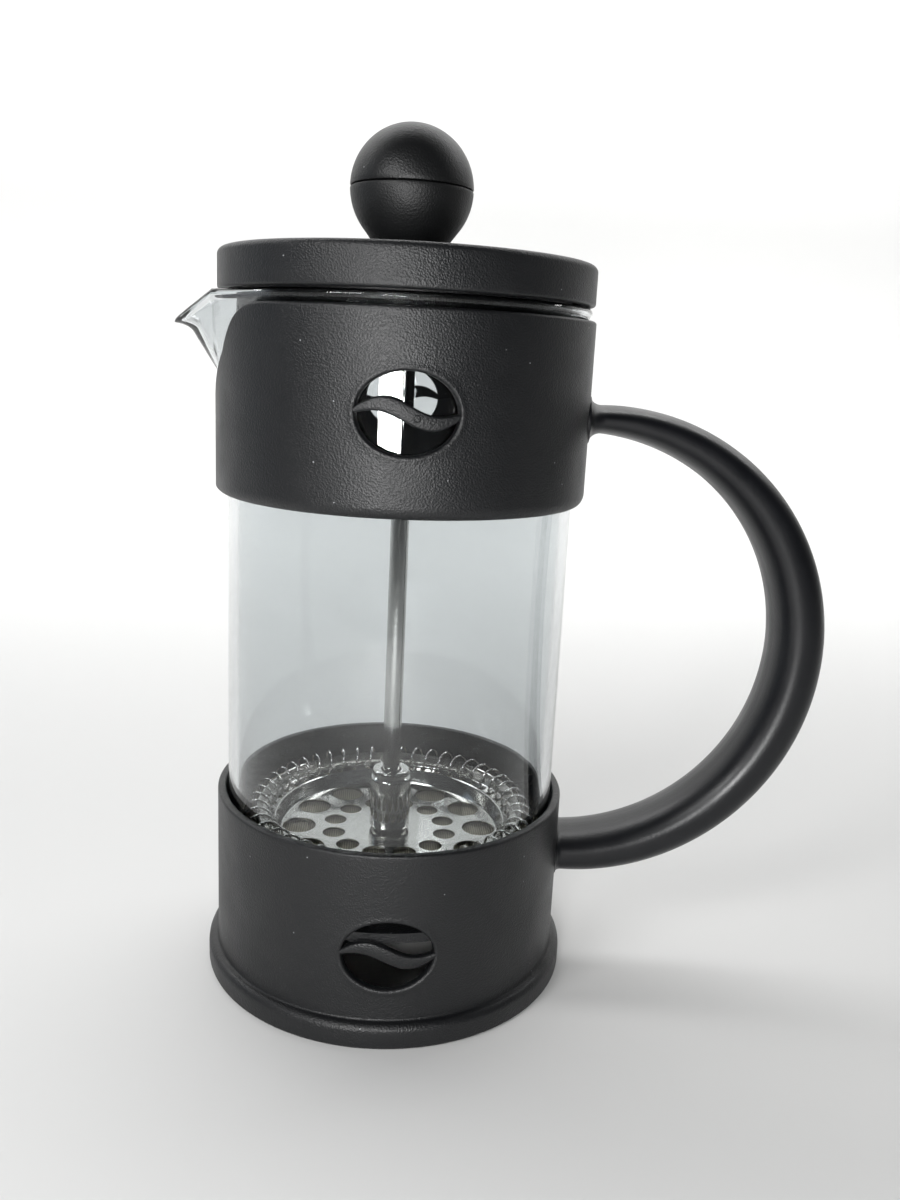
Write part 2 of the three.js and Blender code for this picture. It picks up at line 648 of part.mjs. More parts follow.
const frame = new THREE.Group();
frame.add(baseCup(), upperCollar(), cHandle());

const lid = new THREE.Group();
lid.add(lidCover(), lidStrainerSleeve(), rodGuideBush());

const knob = new THREE.Group();
knob.add(knobUpperShell(), knobLowerShell(), knobInsert());

const filter = new THREE.Group();
filter.add(filterPlate(), coilSpring(), meshScreen(), crossPlate(), crossPlateStud());

const plunger = new THREE.Group();
plunger.add(plungerRod(), hubBarrel(), knob, filter);

const frenchPress = new THREE.Group();
frenchPress.add(frame, glassBeaker(), lid, plunger);

const box = new THREE.Box3().setFromObject(frenchPress);
frenchPress.position.x = -(box.min.x + box.max.x) / 2;

export default frenchPress;
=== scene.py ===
"""A three-cup French press, built round its CAD frame: moulded frame, glass, lid, knob and plunger."""

import math

import bmesh
import bpy
from bpy.props import FloatProperty, FloatVectorProperty, IntProperty, PointerProperty
from mathutils import Matrix, Vector


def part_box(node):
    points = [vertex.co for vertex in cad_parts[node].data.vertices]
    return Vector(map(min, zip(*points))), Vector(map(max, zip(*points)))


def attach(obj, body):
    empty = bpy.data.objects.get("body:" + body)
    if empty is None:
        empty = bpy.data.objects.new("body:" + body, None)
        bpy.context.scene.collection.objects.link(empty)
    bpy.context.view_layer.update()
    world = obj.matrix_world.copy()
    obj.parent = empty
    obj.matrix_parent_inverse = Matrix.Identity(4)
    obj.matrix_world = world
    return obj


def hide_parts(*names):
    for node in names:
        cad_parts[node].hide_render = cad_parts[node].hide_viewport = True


bl_info = {
    "name": "French Press",
    "version": (1, 0, 0),
    "blender": (4, 5, 0),
    "location": "View3D > Sidebar > French Press",
    "description": "Builds a small French press round its CAD frame, piece by piece",
    "category": "Object",
}

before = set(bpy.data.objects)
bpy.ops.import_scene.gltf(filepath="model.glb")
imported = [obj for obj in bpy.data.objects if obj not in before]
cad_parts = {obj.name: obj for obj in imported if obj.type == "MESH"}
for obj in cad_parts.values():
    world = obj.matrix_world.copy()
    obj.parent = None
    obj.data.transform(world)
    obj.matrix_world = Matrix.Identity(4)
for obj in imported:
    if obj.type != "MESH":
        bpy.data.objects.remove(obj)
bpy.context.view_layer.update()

MM = 0.001
COLUMNS = 256  # facets round the frame, the glass and the lid
WINDOW_COLUMNS = 13  # columns of the wall on each side of a bean window's middle
WINDOW_ROWS = 10  # rows of the wall above and below a bean window's middle
WINDOW_ZONE = 1.3  # height of those rows together, over the window's height


def round_node(name):
    """Lowest and highest Z and the outer radius of a CAD node that is round about the beaker's axis."""
    low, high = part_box(name)
    return low.z, high.z, (high.y - low.y) / 2


AXIS_X = sum(corner.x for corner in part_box("plunger_rod")) / 2
BASE_BOTTOM, BASE_TOP, FOOT_RADIUS = round_node("base_cup")
COLLAR_BOTTOM, COLLAR_TOP, COLLAR_RADIUS = round_node("upper_collar")
GLASS_BOTTOM, GLASS_TOP, RIM_RADIUS = round_node("glass_beaker")
LID_BOTTOM, LID_TOP, LID_RADIUS = round_node("lid_cover")
SLEEVE_BOTTOM, SLEEVE_TOP, SLEEVE_RADIUS = round_node("lid_strainer_sleeve")
BUSH_BOTTOM, BUSH_TOP, BUSH_FLANGE = round_node("rod_guide_bush")
BALL_SEAM_TOP, _, KNOB_RADIUS = round_node("knob_upper_shell")
KNOB_BOTTOM, BALL_SEAM_BOTTOM, _ = round_node("knob_lower_shell")
ROD_BOTTOM, ROD_TOP, ROD_RADIUS = round_node("plunger_rod")
HUB_BOTTOM, HUB_TOP, HUB_RADIUS = round_node("hub_barrel")
PLATE_BOTTOM, PLATE_TOP, PLATE_RADIUS = round_node("filter_plate")
COIL_BOTTOM, COIL_TOP, COIL_OUTER = round_node("coil_spring")
MESH_BOTTOM, MESH_TOP, MESH_RADIUS = round_node("mesh_screen")
CROSS_BOTTOM, CROSS_TOP, CROSS_RADIUS = round_node("cross_plate")
STUD_BOTTOM, STUD_TOP, STUD_HEAD = round_node("cross_plate_stud")
KEEL_ROUNDING = 1.0 * MM  # how far the spout's rounded keel lies inside a sharp one
ROD_BORE = ROD_RADIUS + 0.3 * MM  # of every piece that the rod or the stud passes through
SPOUT_REACH = AXIS_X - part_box("glass_beaker")[0].x - RIM_RADIUS + KEEL_ROUNDING


# ---- Sizes and colours that a user may change


def length(name, description, default_mm):
    """A length property, given in millimetres and stored in metres."""
    return FloatProperty(name=name, description=description, default=default_mm * MM, min=0.0,
                         unit="LENGTH", precision=5)


def linear(hex_colour):
    """An sRGB hex colour as linear RGBA."""
    channels = [int(hex_colour[i:i + 2], 16) / 255 for i in (1, 3, 5)]
    return [c / 12.92 if c <= 0.04045 else ((c + 0.055) / 1.055) ** 2.4 for c in channels] + [1.0]


def colour(name, description, default_hex):
    """A colour property, given in sRGB hex and kept linear."""
    return FloatVectorProperty(name=name, description=description, default=linear(default_hex), size=4,
                               min=0.0, max=1.0, subtype="COLOR")


class FrameSizes(bpy.types.PropertyGroup):
    """Sizes of the moulded frame."""

    collar_wall: length("Collar wall", "Thickness of the collar's wall", 1.9)
    base_wall: length("Base wall", "Thickness of the base cup's wall", 1.7)
    foot_lip: length("Foot lip", "How far the foot stands out from the base", 2.0)
    foot_height: length("Foot height", "Height of the foot ring", 5.2)
    ledge_top: length("Ledge height", "Height of the ledge that the glass stands on", 22.9)
    ledge_width: length("Ledge width", "How far the ledge reaches in", 8.5)
    window_width: length("Window width", "Width of a bean window inside its rounded edge", 18.2)
    window_height: length("Window height", "Height of a bean window inside its rounded edge", 14.2)
    window_edge: length("Window edge", "Radius of a window's rounded outer edge", 0.6)
    window_lip: length("Window lip", "Height of the faint raised lip round a window", 0.08)
    collar_window: length("Collar window", "From the collar's top to its window's middle", 17.6)
    base_window: length("Base window", "Height of the base window's middle", 18.8)
    bar: length("Window bar", "Thickness of the S-shaped bar at its middle", 3.2)
    bar_end: length("Bar end", "Thickness of the bar at its ends", 0.9)
    bar_swing: length("Bar swing", "How far the bar swings up and down", 1.5)
    notch_start: length("Notch start", "Height where the spout's notch begins", 120.9)
    handle_width: length("Handle width", "Width of the handle", 16.0)
    handle_top: length("Handle top", "From the collar's top to the handle's centre line", 19.0)
    handle_foot: length("Handle foot", "Height of the centre line at the handle's foot", 24.8)
    handle_root: length("Handle root", "From the collar to the start of the handle's arc", 1.1)
    upper_fillet: length("Upper fillet", "Radius where the handle meets the collar", 3.4)
    lower_fillet: length("Lower fillet", "Radius where the handle meets the base", 1.2)


class GlassSizes(bpy.types.PropertyGroup):
    """Sizes of the glass beaker."""

    wall: length("Wall", "Thickness of the glass", 2.0)
    floor: length("Floor", "Thickness of the glass floor", 2.3)
    corner: length("Corner", "Outer radius of the bottom corner", 5.0)
    flare: length("Rim flare", "How far the rim flares out", 1.5)
    flare_height: length("Flare height", "Height of the flared rim", 5.0)
    spout_height: length("Spout height", "From the spout's root to the rim", 18.1)
    spout_drop: length("Spout drop", "How far the tip lies below the rim", 6.2)


class LidSizes(bpy.types.PropertyGroup):
    """Sizes of the lid and the knob."""

    wall: length("Lid wall", "Thickness of the lid's skirt", 1.8)
    top: length("Lid top", "Thickness of the lid's top", 2.0)
    edge: length("Lid edge", "Radius of the lid's upper edge", 1.3)
    sleeve_wall: length("Sleeve wall", "Thickness of the sleeve", 1.4)
    slots: IntProperty(name="Pouring slots", description="Slots on the spout's side", default=7,
                       min=1, max=30)
    slot_step: FloatProperty(name="Slot step", description="Angle from slot to slot", default=math.radians(8),
                             subtype="ANGLE")
    slot_width: length("Slot width", "Width of a pouring slot", 1.4)
    slot_height: length("Slot height", "Height of a pouring slot", 7.0)
    knob_base: length("Knob base", "Radius of the knob's base", 5.7)
    knob_shell: length("Knob shell", "Thickness of the knob's shells", 1.6)
    seam_edge: length("Seam edge", "Rounding of the two shells at their seam", 0.25)


class FilterSizes(bpy.types.PropertyGroup):
    """Sizes of the filter pack."""

    sheet: length("Plate sheet", "Thickness of the filter plate", 0.5)
    trough_rise: length("Trough rise", "From the plate's middle up to its trough", 2.8)
    trough_width: length("Trough width", "From the ridge to the rim wall", 3.8)
    ridge: length("Ridge", "Height of the ridge above the trough", 0.6)
    rim_wall: length("Rim wall", "Thickness of the rim wall inside the coil", 0.4)
    big_hole: length("Big holes", "Radius of the outer ring's holes", 3.65)
    big_margin: length("Hole margin", "From the big holes to the plate's bend", 0.45)
    small_hole: length("Small holes", "Radius of the inner ring's holes", 2.45)
    ring_step: length("Ring step", "Between the two rings of holes", 7.5)
    holes: IntProperty(name="Holes", description="Holes in each ring", default=12, min=3, max=40)
    coil_turns: IntProperty(name="Coil turns", description="Turns of the coil spring", default=48,
                            min=8, max=120)
    wire: length("Wire", "Radius of the coil's wire", 0.27)
    mesh_sheet: length("Mesh sheet", "Thickness of the woven mesh", 0.25)
    openings: IntProperty(name="Cross plate openings", description="Openings in the cross plate", default=6,
                          min=3, max=12)


class Finishes(bpy.types.PropertyGroup):
    """Colours of the materials."""

    frame_black: colour("Frame", "Moulded frame", "#0E0F11")
    handle_black: colour("Handle", "Handle", "#0B0C10")
    lid_black: colour("Lid", "Lid and sleeve", "#0F1012")
    knob_black: colour("Knob", "Ball knob", "#0C0D0E")
    dust: colour("Dust", "Specks of dust caught in the texture", "#8E9092")
    # Painted shade: real borosilicate is clear, and this grey tint darkens everything seen through the glass.
    glass: colour("Glass", "Borosilicate glass", "#E2E5E6")
    steel: colour("Steel", "Polished stainless steel", "#C9C8C5")
    wire: colour("Wire", "Spring wire", "#D2D1CE")
    mesh_light: colour("Mesh wires", "Wires of the woven mesh", "#A29C8C")
    # Painted shade: the holes get a dark colour that stands in for the shade seen through the mesh's
    # openings.
    mesh_hole_shade: colour("Mesh holes", "Holes of the woven mesh", "#3B3832")
    brass: colour("Brass", "Knob insert", "#B8975A")
    floor: colour("Floor", "Floor and backdrop", "#DDDDDC")


SETTINGS = {
    "press_frame": FrameSizes,
    "press_glass": GlassSizes,
    "press_lid": LidSizes,
    "press_filter": FilterSizes,
    "press_finish": Finishes,
}


# ---- Material helpers


def add(tree, kind, links=None, **settings):
    """Adds a node. Settings are its properties or its inputs' values. Links are its inputs' sources, or
    their values where an input goes by number or is known only once the settings are made."""
    node = tree.nodes.new(kind)
    for name, value in settings.items():
        if hasattr(node, name):
            setattr(node, name, value)
        else:
            node.inputs[name.replace("_", " ")].default_value = value
    for socket, source in (links or {}).items():
        if isinstance(source, bpy.types.NodeSocket):
            tree.links.new(source, node.inputs[socket])
        else:
            node.inputs[socket].default_value = source
    return node


def new_material(name, **values):
    """A material with a Principled shader whose plain values are set on its own sockets."""
    material = bpy.data.materials.new(name)
    material.use_nodes = True
    tree = material.node_tree
    shader = tree.nodes["Principled BSDF"]
    for socket, value in values.items():
        shader.inputs[socket.replace("_", " ")].default_value = value
    return material, tree, shader


def object_coordinates(tree):
    """Object coordinates, centred on the beaker's axis."""
    texture = add(tree, "ShaderNodeTexCoord")
    mapping = add(tree, "ShaderNodeMapping", {"Vector": texture.outputs["Object"]}, Location=(-AXIS_X, 0, 0))
    return mapping.outputs["Vector"]


def moulded_plastic(name, base, roughness, grain_mm, depth, dust_amount):
    """Black polypropylene, moulded against a spark-eroded tool: a fine pebble grain that breaks up the
    highlight, slight changes of sheen where the tool is more or less worn, and a few specks of dust."""
    material, tree, shader = new_material(name, IOR=1.49, Metallic=0.0)
    where = object_coordinates(tree)
    pebbles = add(tree, "ShaderNodeTexNoise", {"Vector": where}, Scale=1 / (grain_mm * MM), Detail=3.0,
                  Roughness=0.6)
    cells = add(tree, "ShaderNodeTexVoronoi", {"Vector": where}, Scale=0.8 / (grain_mm * MM))
    grain = add(tree, "ShaderNodeMath", {0: pebbles.outputs["Fac"], 1: cells.outputs["Distance"]},
                operation="ADD")
    bump = add(tree, "ShaderNodeBump", {"Height": grain.outputs[0]}, Strength=depth, Distance=0.06 * MM)
    tree.links.new(bump.outputs["Normal"], shader.inputs["Normal"])
    # Cloudy wear, 8 mm across, makes the sheen uneven.
    clouds = add(tree, "ShaderNodeTexNoise", {"Vector": where}, Scale=1 / (8 * MM), Detail=4.0)
    sheen = add(tree, "ShaderNodeMapRange", {"Value": clouds.outputs["Fac"]}, From_Min=0.3, From_Max=0.7,
                To_Min=roughness - 0.04, To_Max=roughness + 0.05)
    tree.links.new(sheen.outputs["Result"], shader.inputs["Roughness"])
    # Dust: a round speck, 0.3 mm across, in some of the cells of a 3.2 mm grid.
    specks = add(tree, "ShaderNodeTexVoronoi", {"Vector": where}, Scale=1 / (3.2 * MM))
    speck_radius = 0.045  # of a cell
    dot = add(tree, "ShaderNodeMath", {0: specks.outputs["Distance"], 1: speck_radius}, operation="LESS_THAN")
    choice = add(tree, "ShaderNodeSeparateColor", {"Color": specks.outputs["Color"]})
    chosen = add(tree, "ShaderNodeMath", {0: choice.outputs["Red"], 1: dust_amount}, operation="LESS_THAN")
    dust = add(tree, "ShaderNodeMath", {0: dot.outputs[0], 1: chosen.outputs[0]}, operation="MULTIPLY")
    tint = add(tree, "ShaderNodeMix", {"Factor": dust.outputs[0], "A": base,
                                       "B": bpy.context.scene.press_finish.dust}, data_type="RGBA")
    tree.links.new(tint.outputs["Result"], shader.inputs["Base Color"])
    return material


def borosilicate():
    """Blown borosilicate glass, fire-polished, with faint draw lines that bend reflections. The real glass is
    clear. Its faint grey is painted shade that darkens everything seen through it, and it deepens at the rim
    and the spout, where the eye looks along the wall."""
    # Painted shade: the glass's grey tint darkens the rod, the filter and the frame's inside as seen through
    # it.
    base = bpy.context.scene.press_finish.glass
    material, tree, shader = new_material("clear_borosilicate", IOR=1.473, Roughness=0.0,
                                          Transmission_Weight=1.0, Base_Color=base)
    where = object_coordinates(tree)
    stretch = add(tree, "ShaderNodeMapping", {"Vector": where}, Scale=(1.0, 1.0, 0.12))
    draw = add(tree, "ShaderNodeTexNoise", {"Vector": stretch.outputs["Vector"]}, Scale=1 / (14 * MM),
               Detail=1.0)
    bump = add(tree, "ShaderNodeBump", {"Height": draw.outputs["Fac"]}, Strength=0.25, Distance=0.2 * MM)
    tree.links.new(bump.outputs["Normal"], shader.inputs["Normal"])
    return material


def polished_steel(name, base, roughness, line_mm, stretch):
    """Stainless steel, polished: bright, with fine polishing lines that smear its reflections one way."""
    material, tree, shader = new_material(name, Metallic=1.0, Base_Color=base)
    where = object_coordinates(tree)
    drawn = add(tree, "ShaderNodeMapping", {"Vector": where}, Scale=stretch)
    lines = add(tree, "ShaderNodeTexNoise", {"Vector": drawn.outputs["Vector"]}, Scale=1 / (line_mm * MM),
                Detail=2.0)
    sheen = add(tree, "ShaderNodeMapRange", {"Value": lines.outputs["Fac"]}, From_Min=0.3, From_Max=0.7,
                To_Min=roughness * 0.6, To_Max=roughness * 1.6)
    tree.links.new(sheen.outputs["Result"], shader.inputs["Roughness"])
    bump = add(tree, "ShaderNodeBump", {"Height": lines.outputs["Fac"]}, Strength=0.12, Distance=0.02 * MM)
    tree.links.new(bump.outputs["Normal"], shader.inputs["Normal"])
    return material


def woven_mesh():
    """Plain-woven stainless mesh. Real wires lie about 0.2 mm apart, too fine to show, so the weave is drawn
    0.5 mm apart: light wires over holes filled with painted shade, all a dull, slightly yellow grey from
    coffee oil."""
    finish = bpy.context.scene.press_finish
    material, tree, shader = new_material("woven_mesh", Metallic=0.85, Roughness=0.42)
    where = object_coordinates(tree)
    wire_step = 0.5 * MM
    waves = [add(tree, "ShaderNodeTexWave", {"Vector": where}, wave_type="BANDS", wave_profile="SIN",
                 bands_direction=direction, Scale=math.pi / (10 * wire_step)) for direction in ("X", "Y")]
    wires = add(tree, "ShaderNodeMath", {0: waves[0].outputs["Fac"], 1: waves[1].outputs["Fac"]},
                operation="MAXIMUM")
    # Painted shade: between the wires, the dark hole colour stands in for the shade seen through the
    # openings. The wires keep their own oil-tinted grey.
    ramp = add(tree, "ShaderNodeMapRange", {"Value": wires.outputs[0]}, From_Min=0.35, From_Max=0.8)
    tint = add(tree, "ShaderNodeMix", {"Factor": ramp.outputs["Result"], "A": finish.mesh_hole_shade,
                                       "B": finish.mesh_light}, data_type="RGBA")
    tree.links.new(tint.outputs["Result"], shader.inputs["Base Color"])
    bump = add(tree, "ShaderNodeBump", {"Height": wires.outputs[0]}, Strength=0.7, Distance=0.12 * MM)
    tree.links.new(bump.outputs["Normal"], shader.inputs["Normal"])
    return material


def turned_brass():
    """Brass, turned: fine rings from the tool."""
    base = bpy.context.scene.press_finish.brass
    material, tree, shader = new_material("turned_brass", Metallic=1.0, Base_Color=base)
    where = object_coordinates(tree)
    rings = add(tree, "ShaderNodeTexWave", {"Vector": where}, wave_type="BANDS", bands_direction="Z",
                Scale=1 / (3 * MM))
    sheen = add(tree, "ShaderNodeMapRange", {"Value": rings.outputs["Fac"]}, To_Min=0.22, To_Max=0.38)
    tree.links.new(sheen.outputs["Result"], shader.inputs["Roughness"])
    return material


def matt_floor():
    """Matt seamless paper: a broad, barely visible mottle in the pulp."""
    base = bpy.context.scene.press_finish.floor
    material, tree, shader = new_material("matt_paper", Roughness=0.9, Base_Color=base)
    where = add(tree, "ShaderNodeTexCoord")
    pulp = add(tree, "ShaderNodeTexNoise", {"Vector": where.outputs["Object"]}, Scale=400.0, Detail=4.0)
    bump = add(tree, "ShaderNodeBump", {"Height": pulp.outputs["Fac"]}, Strength=0.05, Distance=0.1 * MM)
    tree.links.new(bump.outputs["Normal"], shader.inputs["Normal"])
    return material


# Materials that several pieces share, or that differ only in their values: how each is made, the name of
# its colour, and the rest of its values.
MATERIALS = {
    "spark_textured_frame": (moulded_plastic, "frame_black",
                             dict(roughness=0.43, grain_mm=0.3, depth=1.0, dust_amount=0.6)),
    "satin_handle": (moulded_plastic, "handle_black",
                     dict(roughness=0.36, grain_mm=0.5, depth=0.25, dust_amount=0.12)),
    "spark_textured_lid": (moulded_plastic, "lid_black",
                           dict(roughness=0.45, grain_mm=0.3, depth=1.0, dust_amount=0.4)),
    "fine_textured_knob_cap": (moulded_plastic, "knob_black",
                               dict(roughness=0.44, grain_mm=0.3, depth=0.7, dust_amount=0.12)),
    "fine_textured_knob_base": (moulded_plastic, "knob_black",
                                dict(roughness=0.5, grain_mm=0.3, depth=0.7, dust_amount=0.12)),
    "polished_rod_steel": (polished_steel, "steel",
                           dict(roughness=0.1, line_mm=0.25, stretch=(1.0, 1.0, 0.03))),
    "bright_sheet_steel": (polished_steel, "steel",
                           dict(roughness=0.13, line_mm=0.6, stretch=(0.15, 1.0, 1.0))),
    "bright_spring_wire": (polished_steel, "wire",
                           dict(roughness=0.16, line_mm=0.5, stretch=(1.0, 1.0, 1.0))),
}


def shared(name):
    """The material of that name, made on its first use."""
    make, base, values = MATERIALS[name]
    return bpy.data.materials.get(name) or make(name, getattr(bpy.context.scene.press_finish, base), **values)


# ---- Mesh helpers


def placed(name, data):
    """A new object at the origin, linked to the scene."""
    thing = bpy.data.objects.new(name, data)
    bpy.context.scene.collection.objects.link(thing)
    return thing


def mesh_piece(name, vertices, faces, sharp_degrees=35.0):
    """A smooth-shaded mesh object whose doubles are merged and whose faces point outwards."""
    mesh = bpy.data.meshes.new(name)
    mesh.from_pydata([(x + AXIS_X, y, z) for x, y, z in vertices], [], faces)
    work = bmesh.new()
    work.from_mesh(mesh)
    bmesh.ops.remove_doubles(work, verts=work.verts, dist=0.0005 * MM)
    bmesh.ops.dissolve_degenerate(work, edges=work.edges, dist=0.0004 * MM)
    bmesh.ops.recalc_face_normals(work, faces=work.faces)
    work.to_mesh(mesh)
    work.free()
    smooth(mesh, sharp_degrees)
    return placed(name, mesh)


def smooth(mesh, sharp_degrees=35.0):
    mesh.shade_smooth()
    mesh.set_sharp_from_angle(angle=math.radians(sharp_degrees))


def arc(r, z, radius, start, end, steps):
    """Points on an arc about (r, z), from one angle to another in degrees."""
    angles = [math.radians(start + (end - start) * i / steps) for i in range(steps + 1)]
    return [(r + radius * math.cos(a), z + radius * math.sin(a)) for a in angles]


def rounded(r, z, radius, start, steps):
    """A quarter arc that rounds the sharp corner at (r, z). It turns anticlockwise from start, in degrees,
    which is -90, 0, 90 or 180."""
    side = 1 if start in (-90, 0) else -1
    rise = 1 if start in (0, 90) else -1
    return arc(r - side * radius, z - rise * radius, radius, start, start + 90, steps)


def rows(r, bottom, top, count):
    """Points up a straight wall."""
    return [(r, bottom + (top - bottom) * i / count) for i in range(count + 1)]


def skin(sections, count, ring=True, left_out=()):
    """Faces between neighbouring sections of count points each. The sections make a ring, or their row
    is closed by a face at each end."""
    faces = []
    for i in range(sections if ring else sections - 1):
        here, there = i * count, (i + 1) % sections * count
        for j in range(count):
            if (i, j) not in left_out:
                k = (j + 1) % count
                faces.append((here + j, there + j, there + k, here + k))
    if not ring:
        faces += [tuple(range(count)), tuple(range((sections - 1) * count, sections * count))]
    return faces


def turned(name, outline, columns=COLUMNS, shape=None, sharp_degrees=35.0):
    """Turns a closed outline of (radius, height) points about the axis. shape may move each point."""
    vertices = []
    for i in range(columns):
        angle = 2 * math.pi * i / columns
        for r, z in outline:
            point = (r * math.cos(angle), r * math.sin(angle), z)
            vertices.append(shape(*point) if shape else point)
    return mesh_piece(name, vertices, skin(columns, len(outline)), sharp_degrees)


def finish_piece(piece, body, material, node):
    """Gives a piece its material and its body, and hides the CAD node that it stands for."""
    piece.data.materials.clear()
    piece.data.materials.append(material)
    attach(piece, body)
    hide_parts(node)


def joined(name, *parts):
    """One object from several, with the first one's place."""
    work = bmesh.new()
    for part in parts:
        work.from_mesh(part.data)
    mesh = bpy.data.meshes.new(name)
    work.to_mesh(mesh)
    work.free()
    for part in parts:
        bpy.data.objects.remove(part)
    smooth(mesh)
    return placed(name, mesh)


# ---- Geometry Nodes


def node_group(name, **inputs):
    """An empty Geometry Nodes tree with a geometry in and out and the named inputs, each of its kind."""
    tree = bpy.data.node_groups.new(name, "GeometryNodeTree")
    tree.is_modifier = True
    tree.interface.new_socket("Geometry", in_out="INPUT", socket_type="NodeSocketGeometry")
    for label, kind in inputs.items():
        tree.interface.new_socket(label.replace("_", " "), in_out="INPUT", socket_type=f"NodeSocket{kind}")
    tree.interface.new_socket("Geometry", in_out="OUTPUT", socket_type="NodeSocketGeometry")
    start = tree.nodes.new("NodeGroupInput")
    end = tree.nodes.new("NodeGroupOutput")
    return tree, start.outputs, end


def run_formulas(tree, values, *steps):
    """Works out new values one after another and adds them to values. Each step names its result, its
    operation and what that works on: earlier values by name, or numbers."""
    for result, operation, *terms in steps:
        sources = {i: values[term] if isinstance(term, str) else term for i, term in enumerate(terms)}
        values[result] = add(tree, "ShaderNodeMath", sources, operation=operation).outputs[0]


def run_nodes(piece, tree, **values):
    """Runs a tree on a piece with the named inputs, and keeps the result as a plain mesh."""
    modifier = piece.modifiers.new(tree.name, "NODES")
    modifier.node_group = tree
    for item in tree.interface.items_tree:
        label = item.name.replace(" ", "_")
        if item.in_out == "INPUT" and label in values:
            modifier[item.identifier] = values[label]
    bpy.context.view_layer.update()
    evaluated = piece.evaluated_get(bpy.context.evaluated_depsgraph_get())
    mesh = bpy.data.meshes.new_from_object(evaluated)
    piece.modifiers.remove(modifier)
    old, piece.data = piece.data, mesh
    bpy.data.meshes.remove(old)
    return piece


def openings_tree(kind):
    """Cuts openings through a piece at equal steps round the axis: round holes or square slots.
    Cutter Size is the hole's radius and depth (x, z), or the slot's length, width and depth."""
    name = f"{kind}_openings"
    if name in bpy.data.node_groups:
        return bpy.data.node_groups[name]
    tree, start, end = node_group(name, Ring_Radius="Float", Height="Float", Count="Int", Start="Float",
                                  Step="Float", Cutter_Size="Vector", Material="Material")
    values = {"index": add(tree, "GeometryNodeInputIndex").outputs[0], "step": start["Step"],
              "start": start["Start"], "radius": start["Ring Radius"]}
    run_formulas(tree, values,
                 ("offset", "MULTIPLY", "index", "step"), ("turn", "ADD", "offset", "start"),
                 ("cosine", "COSINE", "turn"), ("across", "MULTIPLY", "cosine", "radius"),
                 ("x", "ADD", "across", AXIS_X),
                 ("sine", "SINE", "turn"), ("y", "MULTIPLY", "sine", "radius"))
    place = add(tree, "ShaderNodeCombineXYZ", {"X": values["x"], "Y": values["y"], "Z": start["Height"]})
    points = add(tree, "GeometryNodePoints", {"Count": start["Count"], "Position": place.outputs[0]})
    size = add(tree, "ShaderNodeSeparateXYZ", {"Vector": start["Cutter Size"]})
    if kind == "round":
        cutter = add(tree, "GeometryNodeMeshCylinder",
                     {"Radius": size.outputs["X"], "Depth": size.outputs["Z"]}, Vertices=40)
    else:
        cutter = add(tree, "GeometryNodeMeshCube", {"Size": start["Cutter Size"]})
    turned_by = add(tree, "ShaderNodeCombineXYZ", {"Z": values["turn"]})
    copies = add(tree, "GeometryNodeInstanceOnPoints",
                 {"Points": points.outputs[0], "Instance": cutter.outputs["Mesh"],
                  "Rotation": turned_by.outputs[0]})
    solid = add(tree, "GeometryNodeRealizeInstances", {"Geometry": copies.outputs[0]})
    cut = add(tree, "GeometryNodeMeshBoolean", {"Mesh 1": start["Geometry"], "Mesh 2": solid.outputs[0]},
              operation="DIFFERENCE", solver="EXACT")
    whole = add(tree, "GeometryNodeRealizeInstances", {"Geometry": cut.outputs["Mesh"]})
    coloured = add(tree, "GeometryNodeSetMaterial", {"Geometry": whole.outputs[0],
                                                     "Material": start["Material"]})
    tree.links.new(coloured.outputs[0], end.inputs["Geometry"])
    return tree


def coil_tree():
    """A garter coil: a wire wound round a ring, its two ends all but meeting."""
    tree, start, end = node_group("garter_coil", Ring_Radius="Float", Coil_Radius="Float", Height="Float",
                                  Turns="Int", Wire_Radius="Float", Around="Float", Material="Material")
    values = {"turns": start["Turns"], "whole turn": start["Around"], "ring": start["Ring Radius"],
              "coil": start["Coil Radius"], "height": start["Height"]}
    steps_a_turn = 24
    run_formulas(tree, values, ("steps", "MULTIPLY", "turns", steps_a_turn))
    line = add(tree, "GeometryNodeCurvePrimitiveLine")
    wire = add(tree, "GeometryNodeResampleCurve", {"Curve": line.outputs[0], "Count": values["steps"]})
    values["share"] = add(tree, "GeometryNodeSplineParameter").outputs["Factor"]
    run_formulas(tree, values,
                 ("around", "MULTIPLY", "share", "whole turn"),
                 ("wound", "MULTIPLY", "share", "turns"), ("turn", "MULTIPLY", "wound", 2 * math.pi),
                 ("cosine", "COSINE", "turn"), ("out", "MULTIPLY", "cosine", "coil"),
                 ("radius", "ADD", "ring", "out"),
                 ("east", "COSINE", "around"), ("across", "MULTIPLY", "radius", "east"),
                 ("x", "ADD", "across", AXIS_X),
                 ("north", "SINE", "around"), ("y", "MULTIPLY", "radius", "north"),
                 ("sine", "SINE", "turn"), ("up", "MULTIPLY", "sine", "coil"), ("z", "ADD", "height", "up"))
    place = add(tree, "ShaderNodeCombineXYZ", {axis: values[axis.lower()] for axis in "XYZ"})
    wound = add(tree, "GeometryNodeSetPosition", {"Geometry": wire.outputs[0], "Position": place.outputs[0]})
    section = add(tree, "GeometryNodeCurvePrimitiveCircle", {"Radius": start["Wire Radius"]}, Resolution=10)
    drawn = add(tree, "GeometryNodeCurveToMesh", {"Curve": wound.outputs[0],
                                                  "Profile Curve": section.outputs[0]}, Fill_Caps=True)
    whole = add(tree, "GeometryNodeRealizeInstances", {"Geometry": drawn.outputs[0]})
    coloured = add(tree, "GeometryNodeSetMaterial", {"Geometry": whole.outputs[0],
                                                     "Material": start["Material"]})
    tree.links.new(coloured.outputs[0], end.inputs["Geometry"])
    return tree


# ---- The moulded frame


def ellipse_point(angle, half_width, half_height, outset):
    return (half_width + outset) * math.cos(angle), (half_height + outset) * math.sin(angle)


